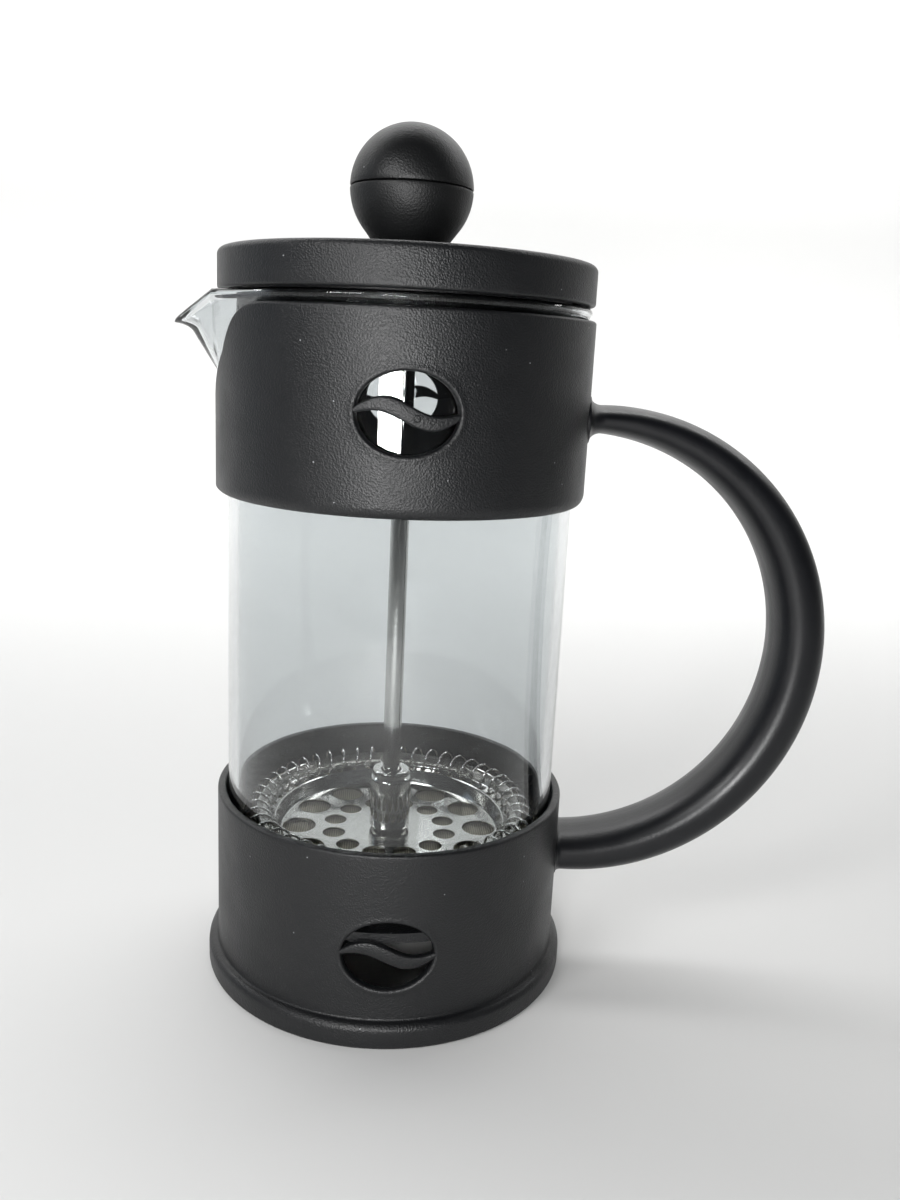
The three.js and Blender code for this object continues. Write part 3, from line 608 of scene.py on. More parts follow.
def window_rings(sizes, wall):
    """Rings round a bean window, from the wall's outer face in to its inner face. Each is a function of
    the window angle and the wall's own boundary point, and gives (across, up, depth)."""
    half_width, half_height = sizes.window_width / 2, sizes.window_height / 2
    edge, lip = sizes.window_edge, sizes.window_lip
    inner_edge = 0.3 * MM
    slope = edge + 0.6 * MM  # where the lip starts to rise

    def blended(share, outset, depth):
        def ring(angle, boundary):
            across, up = ellipse_point(angle, half_width, half_height, outset)
            return (boundary[0] + (across - boundary[0]) * share,
                    boundary[1] + (up - boundary[1]) * share, depth)
        return ring

    rings = [blended(0.35, slope, 0.0), blended(0.7, slope, 0.0), blended(1.0, slope, -0.15 * lip),
             blended(1.0, edge + 0.35 * MM, -0.7 * lip), blended(1.0, edge + 0.12 * MM, -lip)]
    for step in range(7):
        angle = math.radians(90 * step / 6)
        rings.append(blended(1.0, edge * (1 - math.sin(angle)), edge * (1 - math.cos(angle)) - lip
                             * math.cos(angle)))
    return rings + [blended(1.0, 0.0, (edge + wall - inner_edge) / 2), blended(1.0, 0.0, wall - inner_edge),
                    blended(1.0, inner_edge, wall), blended(0.5, inner_edge, wall)]


def frame_wall(name, outline, outer_radius, wall, window_height, top_at=None):
    """A ring wall with a bean window at its front and back. outline is the section, anticlockwise; it has
    one row of points for each window row on the outer and on the inner face. top_at gives the wall's top
    at an angle from the spout, and the rows above the wall's bottom are shared out below it."""
    sizes = bpy.context.scene.press_frame
    count = len(outline)
    heights = [z for _, z in outline]
    bottom, top = min(heights), max(heights)
    step = 2 * math.pi / COLUMNS
    vertices = []
    for i in range(COLUMNS):
        angle = step * i
        share = 1.0
        if top_at:
            share = (top_at(abs(angle - math.pi)) - bottom) / (top - bottom)
        for r, z in outline:
            vertices.append((r * math.cos(angle), r * math.sin(angle), bottom + (z - bottom) * share))
    row_height = sizes.window_height / (2 * WINDOW_ROWS) * WINDOW_ZONE
    low = window_height - WINDOW_ROWS * row_height
    high = low + 2 * WINDOW_ROWS * row_height

    def rows_beside(radius):
        found = [j for j, (r, z) in enumerate(outline)
                 if abs(r - radius) < 1e-7 and low - 1e-6 < z < high + 1e-6]
        return sorted(found, key=lambda j: outline[j][1])

    outer_rows, inner_rows = rows_beside(outer_radius), rows_beside(outer_radius - wall)
    middles = (COLUMNS // 4, 3 * COLUMNS // 4)
    open_cells = set()
    for middle in middles:
        for i in range(middle - WINDOW_COLUMNS, middle + WINDOW_COLUMNS):
            for side in (outer_rows, inner_rows):
                for j in range(2 * WINDOW_ROWS):
                    open_cells.add((i, min(side[j], side[j + 1])))
    faces = skin(COLUMNS, count, left_out=open_cells)
    for middle in middles:
        boundary = [(middle + i, 0) for i in range(-WINDOW_COLUMNS, WINDOW_COLUMNS)]
        boundary += [(middle + WINDOW_COLUMNS, j) for j in range(2 * WINDOW_ROWS)]
        boundary += [(middle - i, 2 * WINDOW_ROWS) for i in range(-WINDOW_COLUMNS, WINDOW_COLUMNS)]
        boundary += [(middle - WINDOW_COLUMNS, 2 * WINDOW_ROWS - j) for j in range(2 * WINDOW_ROWS)]
        loops = [[i * count + outer_rows[j] for i, j in boundary]]
        for ring in window_rings(sizes, wall):
            loop = []
            for i, j in boundary:
                across = (i - middle) * step * outer_radius
                up = (j - WINDOW_ROWS) * row_height
                angle = math.atan2(up / (WINDOW_ROWS * row_height),
                                   across / (WINDOW_COLUMNS * step * outer_radius))
                a, b, depth = ring(angle, (across, up))
                turn, r = step * middle + a / outer_radius, outer_radius - depth
                loop.append(len(vertices))
                vertices.append((r * math.cos(turn), r * math.sin(turn), window_height + b))
            loops.append(loop)
        loops.append([i * count + inner_rows[j] for i, j in boundary])
        for first, second in zip(loops, loops[1:]):
            for k in range(len(first)):
                m = (k + 1) % len(first)
                faces.append((first[k], first[m], second[m], second[k]))
    return mesh_piece(name, vertices, faces)


def window_bar(outer_radius, wall, window_height, turn, gate_mark=False):
    """The S-shaped bar across a window, wrapped on the wall: crest to the left, trough to the right, thin
    at its ends, with rounded edges. turn is the angle of the window's middle."""
    sizes = bpy.context.scene.press_frame
    reach = sizes.window_width / 2 + 0.8 * MM
    steps, corner_steps = 64, 3
    crest = 0.12 * MM  # how far the bar's face is crowned
    vertices = []
    depth_out, depth_in = 0.06 * MM, wall - 0.1 * MM

    def wrapped(across, up, depth):
        angle = turn + across / outer_radius
        return ((outer_radius - depth) * math.cos(angle), (outer_radius - depth) * math.sin(angle),
                window_height + up)

    section = []
    for start, (side, end) in zip((0, 90, 180, 270), ((1, 1), (-1, 1), (-1, -1), (1, -1))):
        for k in range(corner_steps + 1):
            angle = math.radians(start + 90 * k / corner_steps)
            section.append((side, end, math.cos(angle), math.sin(angle)))
    for i in range(steps + 1):
        share = 2 * i / steps - 1
        middle = -sizes.bar_swing * math.sin(math.pi * share)
        half = (sizes.bar_end + (sizes.bar - sizes.bar_end) * math.cos(math.pi * share / 2)) / 2
        round_off = min(0.4 * MM, 0.8 * half)
        for side, end, cosine, sine in section:
            up = side * (half - round_off) + round_off * cosine
            centre = depth_out + round_off if end > 0 else depth_in - round_off
            crown = crest * (1 - (up / half) ** 2) if end > 0 else 0.0
            depth = centre - round_off * sine - crown + crest
            vertices.append(wrapped(share * reach, middle + up, depth))
    bar = mesh_piece("window_bar", vertices, skin(steps + 1, len(section), ring=False))
    if not gate_mark:
        return [bar]
    ring_radius, ring_wire, rounds, sides = 0.55 * MM, 0.13 * MM, 28, 8
    ring_points = []
    for i in range(rounds):
        a = 2 * math.pi * i / rounds
        for k in range(sides):
            b = 2 * math.pi * k / sides
            r = ring_radius + ring_wire * math.cos(b)
            ring_points.append(wrapped(1.6 * MM + r * math.cos(a), -0.75 * MM + r * math.sin(a),
                                       depth_out - ring_wire * math.sin(b)))
    return [bar, mesh_piece("gate_mark", ring_points, skin(rounds, sides))]


def window_zone(centre):
    """The heights of the wall's rows beside a window."""
    sizes = bpy.context.scene.press_frame
    reach = sizes.window_height / 2 * WINDOW_ZONE
    return [centre - reach + 2 * reach * i / (2 * WINDOW_ROWS) for i in range(2 * WINDOW_ROWS + 1)]


def notch_top(angle):
    """Height of the collar's top at an angle from the spout, in radians: a rounded shoulder outside,
    then a steep side that draws in to the notch's narrow foot."""
    sizes = bpy.context.scene.press_frame
    foot, waist, shoulder = math.radians(9), math.radians(24), math.radians(50)
    waist_share, side_power, shoulder_power = 0.52, 0.8, 3.2
    waist_top = sizes.notch_start + waist_share * (COLLAR_TOP - sizes.notch_start)
    if angle <= foot:
        return sizes.notch_start
    if angle <= waist:
        share = (angle - foot) / (waist - foot)
        return sizes.notch_start + (waist_top - sizes.notch_start) * share ** side_power
    if angle >= shoulder:
        return COLLAR_TOP
    share = (shoulder - angle) / (shoulder - waist)
    return waist_top + (COLLAR_TOP - waist_top) * (1 - share ** shoulder_power)


class PRESS_OT_collar(bpy.types.Operator):
    """Make the upper collar, with its spout notch and bean windows"""

    bl_idname = "press.collar"
    bl_label = "Upper Collar"

    def execute(self, context):
        sizes = context.scene.press_frame
        wall = sizes.collar_wall
        bore = COLLAR_RADIUS - wall
        centre = COLLAR_TOP - sizes.collar_window
        zone = window_zone(centre)
        curl = 2.4 * MM
        edge = [(bore + (wall - 0.3 * MM) * math.sin(a) + 0.3 * MM, COLLAR_BOTTOM + curl * (1 - math.cos(a)))
                for a in [math.radians(90 * i / 8) for i in range(9)]]
        outline = [(bore, COLLAR_BOTTOM + 0.3 * MM), *edge[:-1], (COLLAR_RADIUS, COLLAR_BOTTOM + curl),
                   (COLLAR_RADIUS, (COLLAR_BOTTOM + curl + zone[0]) / 2),
                   *[(COLLAR_RADIUS, z) for z in zone],
                   *rows(COLLAR_RADIUS, zone[-1] + 1 * MM, COLLAR_TOP - 1.2 * MM, 8),
                   *rounded(COLLAR_RADIUS, COLLAR_TOP, 0.6 * MM, 0, 6),
                   (bore + 0.9 * MM, COLLAR_TOP), (bore, COLLAR_TOP - 2.4 * MM),
                   *[(bore, z) for z in reversed(zone)]]
        body = frame_wall("collar_wall", outline, COLLAR_RADIUS, wall, centre, notch_top)
        bars = (window_bar(COLLAR_RADIUS, wall, centre, -math.pi / 2, gate_mark=True)
                + window_bar(COLLAR_RADIUS, wall, centre, math.pi / 2))
        piece = joined("collar_moulding", body, *bars)
        finish_piece(piece, "frame", shared("spark_textured_frame"), "upper_collar")
        return {"FINISHED"}


class PRESS_OT_base(bpy.types.Operator):
    """Make the base cup, with its foot, the ledge for the glass and its bean windows"""

    bl_idname = "press.base"
    bl_label = "Base Cup"

    def execute(self, context):
        sizes = context.scene.press_frame
        wall = sizes.base_wall
        radius = FOOT_RADIUS - sizes.foot_lip
        bore = radius - wall
        zone = window_zone(sizes.base_window)
        foot_top = BASE_BOTTOM + sizes.foot_height
        lip = sizes.foot_lip
        heel, shoulder = 0.8 * MM, lip * 0.8  # radii of the foot's lower and upper edges
        outline = [(bore, BASE_BOTTOM), *rounded(FOOT_RADIUS, BASE_BOTTOM, heel, -90, 6),
                   (FOOT_RADIUS, foot_top - shoulder),
                   *arc(FOOT_RADIUS - shoulder, foot_top - shoulder, shoulder, 15, 75, 6),
                   *arc(radius + 0.5 * MM, foot_top + 0.45 * MM, 0.5 * MM, 255, 180, 4),
                   *[(radius, z) for z in zone if z > foot_top + 0.6 * MM],
                   *rows(radius, zone[-1] + 1 * MM, BASE_TOP - 1.2 * MM, 6),
                   *rounded(radius, BASE_TOP, 0.5 * MM, 0, 5),
                   *rounded(bore, BASE_TOP, 0.4 * MM, 90, 4),
                   *[(bore, z) for z in reversed(zone)]]
        body = frame_wall("base_wall", outline, radius, wall, sizes.base_window)
        ledge_outer = bore + 0.05 * MM
        ledge_inner = bore - sizes.ledge_width
        ledge_bottom = sizes.ledge_top - 2 * MM
        ledge = turned("seat_ledge", [
            *rounded(ledge_inner, ledge_bottom, 0.4 * MM, 180, 3),
            (ledge_outer, ledge_bottom), (ledge_outer, sizes.ledge_top),
            *rounded(ledge_inner, sizes.ledge_top, 0.4 * MM, 90, 3)])
        bars = (window_bar(radius, wall, sizes.base_window, -math.pi / 2)
                + window_bar(radius, wall, sizes.base_window, math.pi / 2))
        piece = joined("base_cup_moulding", body, ledge, *bars)
        finish_piece(piece, "frame", shared("spark_textured_frame"), "base_cup")
        return {"FINISHED"}


HANDLE_OUTER_REACH = (2.8 * MM, 6.5 * MM, 4.4 * MM)  # out from the centre line at the collar, side and foot
HANDLE_INNER_REACH = (2.6 * MM, 4.5 * MM, 4.7 * MM)
HANDLE_FULLNESS = 0.85  # 1 is an ellipse, less is fuller
HANDLE_SIDES = 64


def reach_at(reaches, turn):
    """A reach that changes evenly through its three values, from 0 to 2 quarter turns."""
    top, side, foot = reaches
    return top + (4 * side - 3 * top - foot) * turn / 2 + (top - 2 * side + foot) * turn ** 2 / 2


def handle_section(half_width, outer, inner):
    """The handle's full oval section as (outward, across) points, with the directions they swell in.
    A faint moulding seam runs along the inner crest."""
    points = []
    for i in range(HANDLE_SIDES):
        angle = 2 * math.pi * i / HANDLE_SIDES
        out, across = [math.copysign(abs(v) ** HANDLE_FULLNESS, v)
                       for v in (math.cos(angle), math.sin(angle))]
        seam = 0.12 * MM if i == HANDLE_SIDES // 2 else 0.0
        points.append(((outer - inner) / 2 + (outer + inner) / 2 * out - seam, half_width * across,
                       (math.cos(angle), math.sin(angle))))
    return points


class PRESS_OT_handle(bpy.types.Operator):
    """Make the round handle, blended into the collar and the base"""

    bl_idname = "press.handle"
    bl_label = "Handle"

    def execute(self, context):
        sizes = context.scene.press_frame
        top = COLLAR_TOP - sizes.handle_top
        foot = sizes.handle_foot
        radius = (top - foot) / 2
        root = COLLAR_RADIUS + sizes.handle_root
        base_radius = FOOT_RADIUS - sizes.foot_lip
        lead = root - base_radius + 1.4 * MM
        span = 2 * lead + math.pi * radius
        near = [0.25 * MM * i for i in range(40)]
        stations = near + [near[-1] + (span - 2 * near[-1]) * i / 110 for i in range(1, 110)]
        stations += [span - s for s in reversed(near)]
        vertices = []
        for s in stations:
            if s < lead:
                centre, inward = Vector((root - lead + s, 0, top)), Vector((0, 0, -1))
            elif s > span - lead:
                centre, inward = Vector((root - lead + span - s, 0, foot)), Vector((0, 0, 1))
            else:
                angle = (s - lead) / radius
                inward = Vector((-math.sin(angle), 0, -math.cos(angle)))
                centre = Vector((root, 0, (top + foot) / 2)) - radius * inward
            upper = s < span / 2
            turn = min(2.0, max(0.0, (s - lead) / radius / (math.pi / 2)))
            section = handle_section(sizes.handle_width / 2, reach_at(HANDLE_OUTER_REACH, turn),
                                     reach_at(HANDLE_INNER_REACH, turn))
            wall_radius = COLLAR_RADIUS if upper else base_radius
            fillet = sizes.upper_fillet if upper else sizes.lower_fillet
            for outward, across, normal in section:
                point = centre - outward * inward + Vector((0, across, 0))
                away = max(0.0, math.hypot(point.x, point.y) - wall_radius)
                if away < fillet:
                    grow = fillet - math.sqrt(max(0.0, fillet ** 2 - (fillet - away) ** 2))
                    point += 0.75 * grow * (Vector((0, normal[1], 0)) - normal[0] * inward)
                vertices.append(tuple(point))
        piece = mesh_piece("handle_moulding", vertices, skin(len(stations), HANDLE_SIDES, ring=False))
        finish_piece(piece, "frame", shared("satin_handle"), "c_handle")
        return {"FINISHED"}


# ---- Glass


SPOUT_POWER = 0.75  # below 1 the spout comes out of the wall sooner than evenly
SPOUT_ONSET = 40  # the spout's sides fade in over the first 1/40 of its pull
KEEL_SOFTNESS, KEEL_SHIFT = math.radians(2.5), math.radians(1.2)  # rounding of the keel, and its pull back
SIDE_SOFTNESS = math.radians(2.0)  # rounding of the lines where the sides leave the wall


def pulled_spout(x, y, z):
    """Moves a point of the beaker's wall out into the spout: flat sides that leave the wall at a tangent,
    a softly rounded keel, and a top edge that slopes down evenly to the tip."""
    sizes = bpy.context.scene.press_glass
    root = GLASS_TOP - sizes.spout_height
    if z <= root or x > 0:
        return x, y, z
    share = ((z - root) / sizes.spout_height) ** SPOUT_POWER
    tangent = math.acos(RIM_RADIUS / (RIM_RADIUS + SPOUT_REACH * share))
    off = math.sqrt(math.atan2(y, -x) ** 2 + KEEL_SOFTNESS ** 2) - KEEL_SHIFT
    inside = (tangent - off + math.sqrt((tangent - off) ** 2 + SIDE_SOFTNESS ** 2)) / 2
    stretch = 1 / math.cos(inside * min(1.0, SPOUT_ONSET * share))
    x, y = x * stretch, y * stretch
    beyond = max(0.0, -x - RIM_RADIUS) / SPOUT_REACH
    return x, y, z - sizes.spout_drop * share * min(1.0, beyond)


class PRESS_OT_beaker(bpy.types.Operator):
    """Make the glass beaker with its flared rim and its spout"""

    bl_idname = "press.beaker"
    bl_label = "Glass Beaker"

    def execute(self, context):
        sizes = context.scene.press_glass
        radius = RIM_RADIUS - sizes.flare
        bore = radius - sizes.wall
        floor = GLASS_BOTTOM + sizes.floor
        corner, inner_corner = sizes.corner, sizes.corner - sizes.wall
        flare_low = GLASS_TOP - sizes.flare_height
        root = GLASS_TOP - sizes.spout_height
        lip = sizes.wall / 2
        flare = [(sizes.flare * share ** 1.6, flare_low + (sizes.flare_height - lip) * share)
                 for share in [i / 8 for i in range(9)]]
        wall = [z for _, z in rows(0, root, flare_low, 20)[:-1]]
        outline = [
            (0, GLASS_BOTTOM + 0.6 * MM), (radius * 0.5, GLASS_BOTTOM + 0.4 * MM),
            (radius - corner - 2 * MM, GLASS_BOTTOM),
            *rounded(radius, GLASS_BOTTOM, corner, -90, 12),
            *rows(radius, GLASS_BOTTOM + corner + 5 * MM, root - 2 * MM, 6),
            *[(radius, z) for z in wall], *[(radius + out, z) for out, z in flare],
            *arc(RIM_RADIUS - lip, GLASS_TOP - lip, lip, 12, 168, 10),
            *[(bore + out, z) for out, z in reversed(flare)], *[(bore, z) for z in reversed(wall)],
            *reversed(rows(bore, floor + inner_corner + 5 * MM, root - 2 * MM, 6)),
            *arc(bore - inner_corner, floor + inner_corner, inner_corner, 0, -90, 10),
            (bore * 0.5, floor + 0.1 * MM), (0, floor + 0.2 * MM)]
        piece = turned("beaker_glass", outline, 2 * COLUMNS, pulled_spout, sharp_degrees=60)
        finish_piece(piece, "beaker", borosilicate(), "glass_beaker")
        return {"FINISHED"}


# ---- Lid and knob


class PRESS_OT_lid(bpy.types.Operator):
    """Make the lid, its sleeve with the pouring slots, and the rod's guide bush"""

    bl_idname = "press.lid"
    bl_label = "Lid"

    def execute(self, context):
        sizes = context.scene.press_lid
        inner = LID_RADIUS - sizes.wall
        ceiling = LID_TOP - sizes.top
        bush = BUSH_FLANGE - 2.1 * MM
        bush_hole = bush + 0.3 * MM
        cover = turned("lid_cover_moulding", [
            *rounded(inner, LID_BOTTOM, 0.3 * MM, 180, 3),
            *rounded(LID_RADIUS, LID_BOTTOM, 0.6 * MM, -90, 5),
            *rows(LID_RADIUS, LID_BOTTOM + 2 * MM, LID_TOP - sizes.edge - 1 * MM, 3),
            *rounded(LID_RADIUS, LID_TOP, sizes.edge, 0, 8),
            (LID_RADIUS * 0.8, LID_TOP - 0.02 * MM), (LID_RADIUS * 0.5, LID_TOP - 0.05 * MM),
            (bush_hole + 0.3 * MM, LID_TOP - 0.05 * MM), (bush_hole, LID_TOP - 0.3 * MM),
            (bush_hole, ceiling), (inner - 0.5 * MM, ceiling), (inner, ceiling - 0.5 * MM)])
        finish_piece(cover, "lid", shared("spark_textured_lid"), "lid_cover")
        sleeve_inner = SLEEVE_RADIUS - sizes.sleeve_wall
        web = SLEEVE_TOP - sizes.sleeve_wall
        sleeve = turned("lid_sleeve_moulding", [
            *rounded(sleeve_inner, SLEEVE_BOTTOM, 0.4 * MM, 180, 3),
            *rounded(SLEEVE_RADIUS, SLEEVE_BOTTOM, 0.5 * MM, -90, 4),
            *rows(SLEEVE_RADIUS, SLEEVE_BOTTOM + 2 * MM, SLEEVE_TOP, 4),
            (bush_hole, SLEEVE_TOP), (bush_hole, web), (sleeve_inner - 1 * MM, web),
            (sleeve_inner, web - 1 * MM)])
        run_nodes(sleeve, openings_tree("slotted"), Ring_Radius=SLEEVE_RADIUS, Count=sizes.slots,
                  Height=SLEEVE_BOTTOM + 1.5 * MM + sizes.slot_height / 2, Step=sizes.slot_step,
                  Start=math.pi - sizes.slot_step * (sizes.slots - 1) / 2,
                  Cutter_Size=(4 * sizes.sleeve_wall, sizes.slot_width, sizes.slot_height),
                  Material=shared("spark_textured_lid"))
        smooth(sleeve.data)
        finish_piece(sleeve, "lid", shared("spark_textured_lid"), "lid_strainer_sleeve")
        flange_top = SLEEVE_TOP - sizes.sleeve_wall - 0.3 * MM
        flange_bottom = flange_top - 0.8 * MM
        piece = turned("guide_bush_steel", [
            (ROD_BORE, BUSH_BOTTOM + 0.2 * MM), (ROD_BORE + 0.2 * MM, BUSH_BOTTOM),
            (bush - 0.2 * MM, BUSH_BOTTOM), (bush, BUSH_BOTTOM + 0.2 * MM), (bush, flange_bottom),
            *rounded(BUSH_FLANGE, flange_bottom, 0.3 * MM, -90, 3),
            (BUSH_FLANGE, flange_top), (bush, flange_top), (bush, BUSH_TOP), (ROD_BORE, BUSH_TOP)], 96)
        finish_piece(piece, "guide_bush", shared("polished_rod_steel"), "rod_guide_bush")
        return {"FINISHED"}


class PRESS_OT_knob(bpy.types.Operator):
    """Make the ball knob: two shells with a fine seam, and the threaded insert"""

    bl_idname = "press.knob"
    bl_label = "Ball Knob"

    def execute(self, context):
        sizes = context.scene.press_lid
        ball, shell, round_off = KNOB_RADIUS, sizes.knob_shell, sizes.seam_edge
        gap = 0.12 * MM
        low = -36  # degrees below the ball's middle where it meets its base
        centre = (BALL_SEAM_TOP + BALL_SEAM_BOTTOM) / 2
        seam = math.degrees(math.asin((round_off + gap) / ball))
        upper = turned("knob_upper_moulding", [
            (ball - shell, centre + gap), (ball - round_off, centre + gap),
            (ball - 0.3 * round_off, centre + gap + 0.3 * round_off),
            *arc(0, centre, ball, seam, 90, 28)[:-1], (0, centre + ball), (0, centre + ball - shell),
            *arc(0, centre, ball - shell, 85, 4, 14)], 128)
        finish_piece(upper, "knob", shared("fine_textured_knob_cap"),
                     "knob_upper_shell")
        floor = KNOB_BOTTOM + 1 * MM
        boss_bore = ROD_RADIUS + 1.75 * MM
        boss = boss_bore + 1.5 * MM
        lower = turned("knob_lower_moulding", [
            (ROD_BORE, KNOB_BOTTOM), (sizes.knob_base - 0.4 * MM, KNOB_BOTTOM),
            (sizes.knob_base, KNOB_BOTTOM + 0.4 * MM), *arc(0, centre, ball, low, -seam, 14),
            (ball - 0.3 * round_off, centre - gap - 0.3 * round_off), (ball - round_off, centre - gap),
            (ball - shell, centre - gap), *arc(0, centre, ball - shell, -4, low, 8),
            (boss, floor + 2.2 * MM), (boss, centre - 1 * MM), (boss_bore, centre - 1 * MM),
            (boss_bore, floor), (ROD_BORE, floor)], 128)
        finish_piece(lower, "knob", shared("fine_textured_knob_base"),
                     "knob_lower_shell")
        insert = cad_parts["knob_insert"]
        insert.data.materials.clear()
        insert.data.materials.append(turned_brass())
        return {"FINISHED"}


# ---- Plunger and filter


class PRESS_OT_rod(bpy.types.Operator):
    """Make the plunger's rod and the hub at its foot"""

    bl_idname = "press.rod"
    bl_label = "Rod and Hub"

    def execute(self, context):
        bevel = 0.3 * MM
        rod = turned("rod_steel", [
            (0, ROD_BOTTOM), (ROD_RADIUS - bevel, ROD_BOTTOM), (ROD_RADIUS, ROD_BOTTOM + bevel),
            *rows(ROD_RADIUS, ROD_BOTTOM + 10 * MM, ROD_TOP - 10 * MM, 6),
            (ROD_RADIUS, ROD_TOP - bevel), (ROD_RADIUS - bevel, ROD_TOP), (0, ROD_TOP)], 96)
        finish_piece(rod, "plunger", shared("polished_rod_steel"), "plunger_rod")
        shoulder = 4.05 * MM
        hub = turned("hub_steel", [
            (ROD_BORE, HUB_BOTTOM), (HUB_RADIUS - 1.1 * MM, HUB_BOTTOM),
            *arc(HUB_RADIUS - 1.1 * MM, HUB_BOTTOM + 1.1 * MM, 1.1 * MM, -75, 0, 6),
            *rows(HUB_RADIUS, HUB_BOTTOM + 3 * MM, HUB_TOP - 3.2 * MM, 3),
            *arc(HUB_RADIUS - 0.9 * MM, HUB_TOP - 2.5 * MM, 0.9 * MM, 0, 50, 5),
            *arc(shoulder - 0.15 * MM, HUB_TOP - 1.55 * MM, 0.15 * MM, -60, 60, 3),
            *arc(shoulder - 0.5 * MM, HUB_TOP - 0.6 * MM, 0.5 * MM, 10, 90, 5),
            (ROD_BORE + 0.3 * MM, HUB_TOP - 0.1 * MM), (ROD_BORE, HUB_TOP - 0.3 * MM)], 128)
        finish_piece(hub, "plunger", shared("polished_rod_steel"), "hub_barrel")
        return {"FINISHED"}


class PRESS_OT_filter_plate(bpy.types.Operator):
    """Make the dished filter plate with its rings of holes and the slots for the coil"""

    bl_idname = "press.filter_plate"
    bl_label = "Filter Plate"

    def execute(self, context):
        sizes = context.scene.press_filter
        sheet = sizes.sheet
        flat = PLATE_BOTTOM + sheet
        trough = flat + sizes.trough_rise
        ring = PLATE_RADIUS - sizes.rim_wall / 2
        ridge = ring - sizes.trough_width
        bend = ridge - 1.2 * MM
        wall_in, wall_out = ring - sizes.rim_wall / 2, PLATE_RADIUS
        outline = [
            (ROD_BORE, PLATE_BOTTOM), (bend + 0.15 * MM, PLATE_BOTTOM),
            (bend + 0.5 * MM, PLATE_BOTTOM + 0.3 * MM), (ridge - 0.3 * MM, trough - sheet - 0.1 * MM),
            (ridge + 0.1 * MM, trough - sheet + 0.15 * MM), (ridge + 0.6 * MM, trough - sheet),
            *rounded(wall_out, trough - sheet, 0.7 * MM, -90, 5),
            (wall_out, PLATE_TOP - 0.15 * MM), (ring, PLATE_TOP), (wall_in, PLATE_TOP - 0.15 * MM),
            *arc(wall_in - 0.4 * MM, trough + 0.4 * MM, 0.4 * MM, 0, -90, 4),
            (ridge + 0.6 * MM, trough), (ridge + 0.35 * MM, trough + 0.35 * sizes.ridge),
            (ridge + 0.2 * MM, trough + 0.8 * sizes.ridge), (ridge, trough + sizes.ridge),
            (ridge - 0.25 * MM, trough + 0.75 * sizes.ridge), (ridge - 0.45 * MM, trough),
            (bend + 0.2 * MM, flat + 0.5 * MM), (bend - 0.1 * MM, flat + 0.12 * MM), (bend - 0.4 * MM, flat),
            (ROD_BORE + 0.1 * MM, flat), (ROD_BORE, flat - 0.1 * MM)]
        plate = turned("filter_plate_steel", outline, 192)
        big_ring = bend - sizes.big_margin - sizes.big_hole
        step = 2 * math.pi / sizes.holes
        for ring_radius, hole, start in ((big_ring, sizes.big_hole, 0.0),
                                         (big_ring - sizes.ring_step, sizes.small_hole, step / 2)):
            run_nodes(plate, openings_tree("round"), Ring_Radius=ring_radius, Count=sizes.holes,
                      Height=flat, Step=step, Start=start, Cutter_Size=(hole, hole, 3 * MM),
                      Material=shared("bright_sheet_steel"))
        coil_radius, coil_ring, coil_height, around = coil_place(sizes)
        phase = math.pi + math.asin((coil_height - trough + sheet / 2) / coil_radius)
        turn = around / sizes.coil_turns
        run_nodes(plate, openings_tree("slotted"), Ring_Radius=coil_ring + coil_radius * math.cos(phase),
                  Count=sizes.coil_turns, Height=trough - sheet / 2, Step=turn,
                  Start=phase / (2 * math.pi) * turn, Cutter_Size=(2.2 * MM, 1.35 * MM, 4 * sheet),
                  Material=shared("bright_sheet_steel"))
        smooth(plate.data, 28)
        finish_piece(plate, "filter", shared("bright_sheet_steel"), "filter_plate")
        return {"FINISHED"}


def coil_place(sizes):
    """Radius of the coil's turns, of the ring they lie on, their height, and the angle they cover."""
    coil_radius = (COIL_TOP - COIL_BOTTOM) / 2 - sizes.wire
    coil_ring = COIL_OUTER - sizes.wire - coil_radius
    return coil_radius, coil_ring, (COIL_TOP + COIL_BOTTOM) / 2, 2 * math.pi - math.radians(1.5)


class PRESS_OT_coil(bpy.types.Operator):
    """Make the coil spring threaded round the filter plate's rim"""

    bl_idname = "press.coil"
    bl_label = "Coil Spring"

    def execute(self, context):
        sizes = context.scene.press_filter
        wire = shared("bright_spring_wire")
        coil_radius, coil_ring, height, around = coil_place(sizes)
        piece = placed("coil_spring_wire", bpy.data.meshes.new("coil_seed"))
        run_nodes(piece, coil_tree(), Ring_Radius=coil_ring, Coil_Radius=coil_radius, Height=height,
                  Turns=sizes.coil_turns, Wire_Radius=sizes.wire, Around=around, Material=wire)
        smooth(piece.data, 60)
        finish_piece(piece, "filter", wire, "coil_spring")
        return {"FINISHED"}


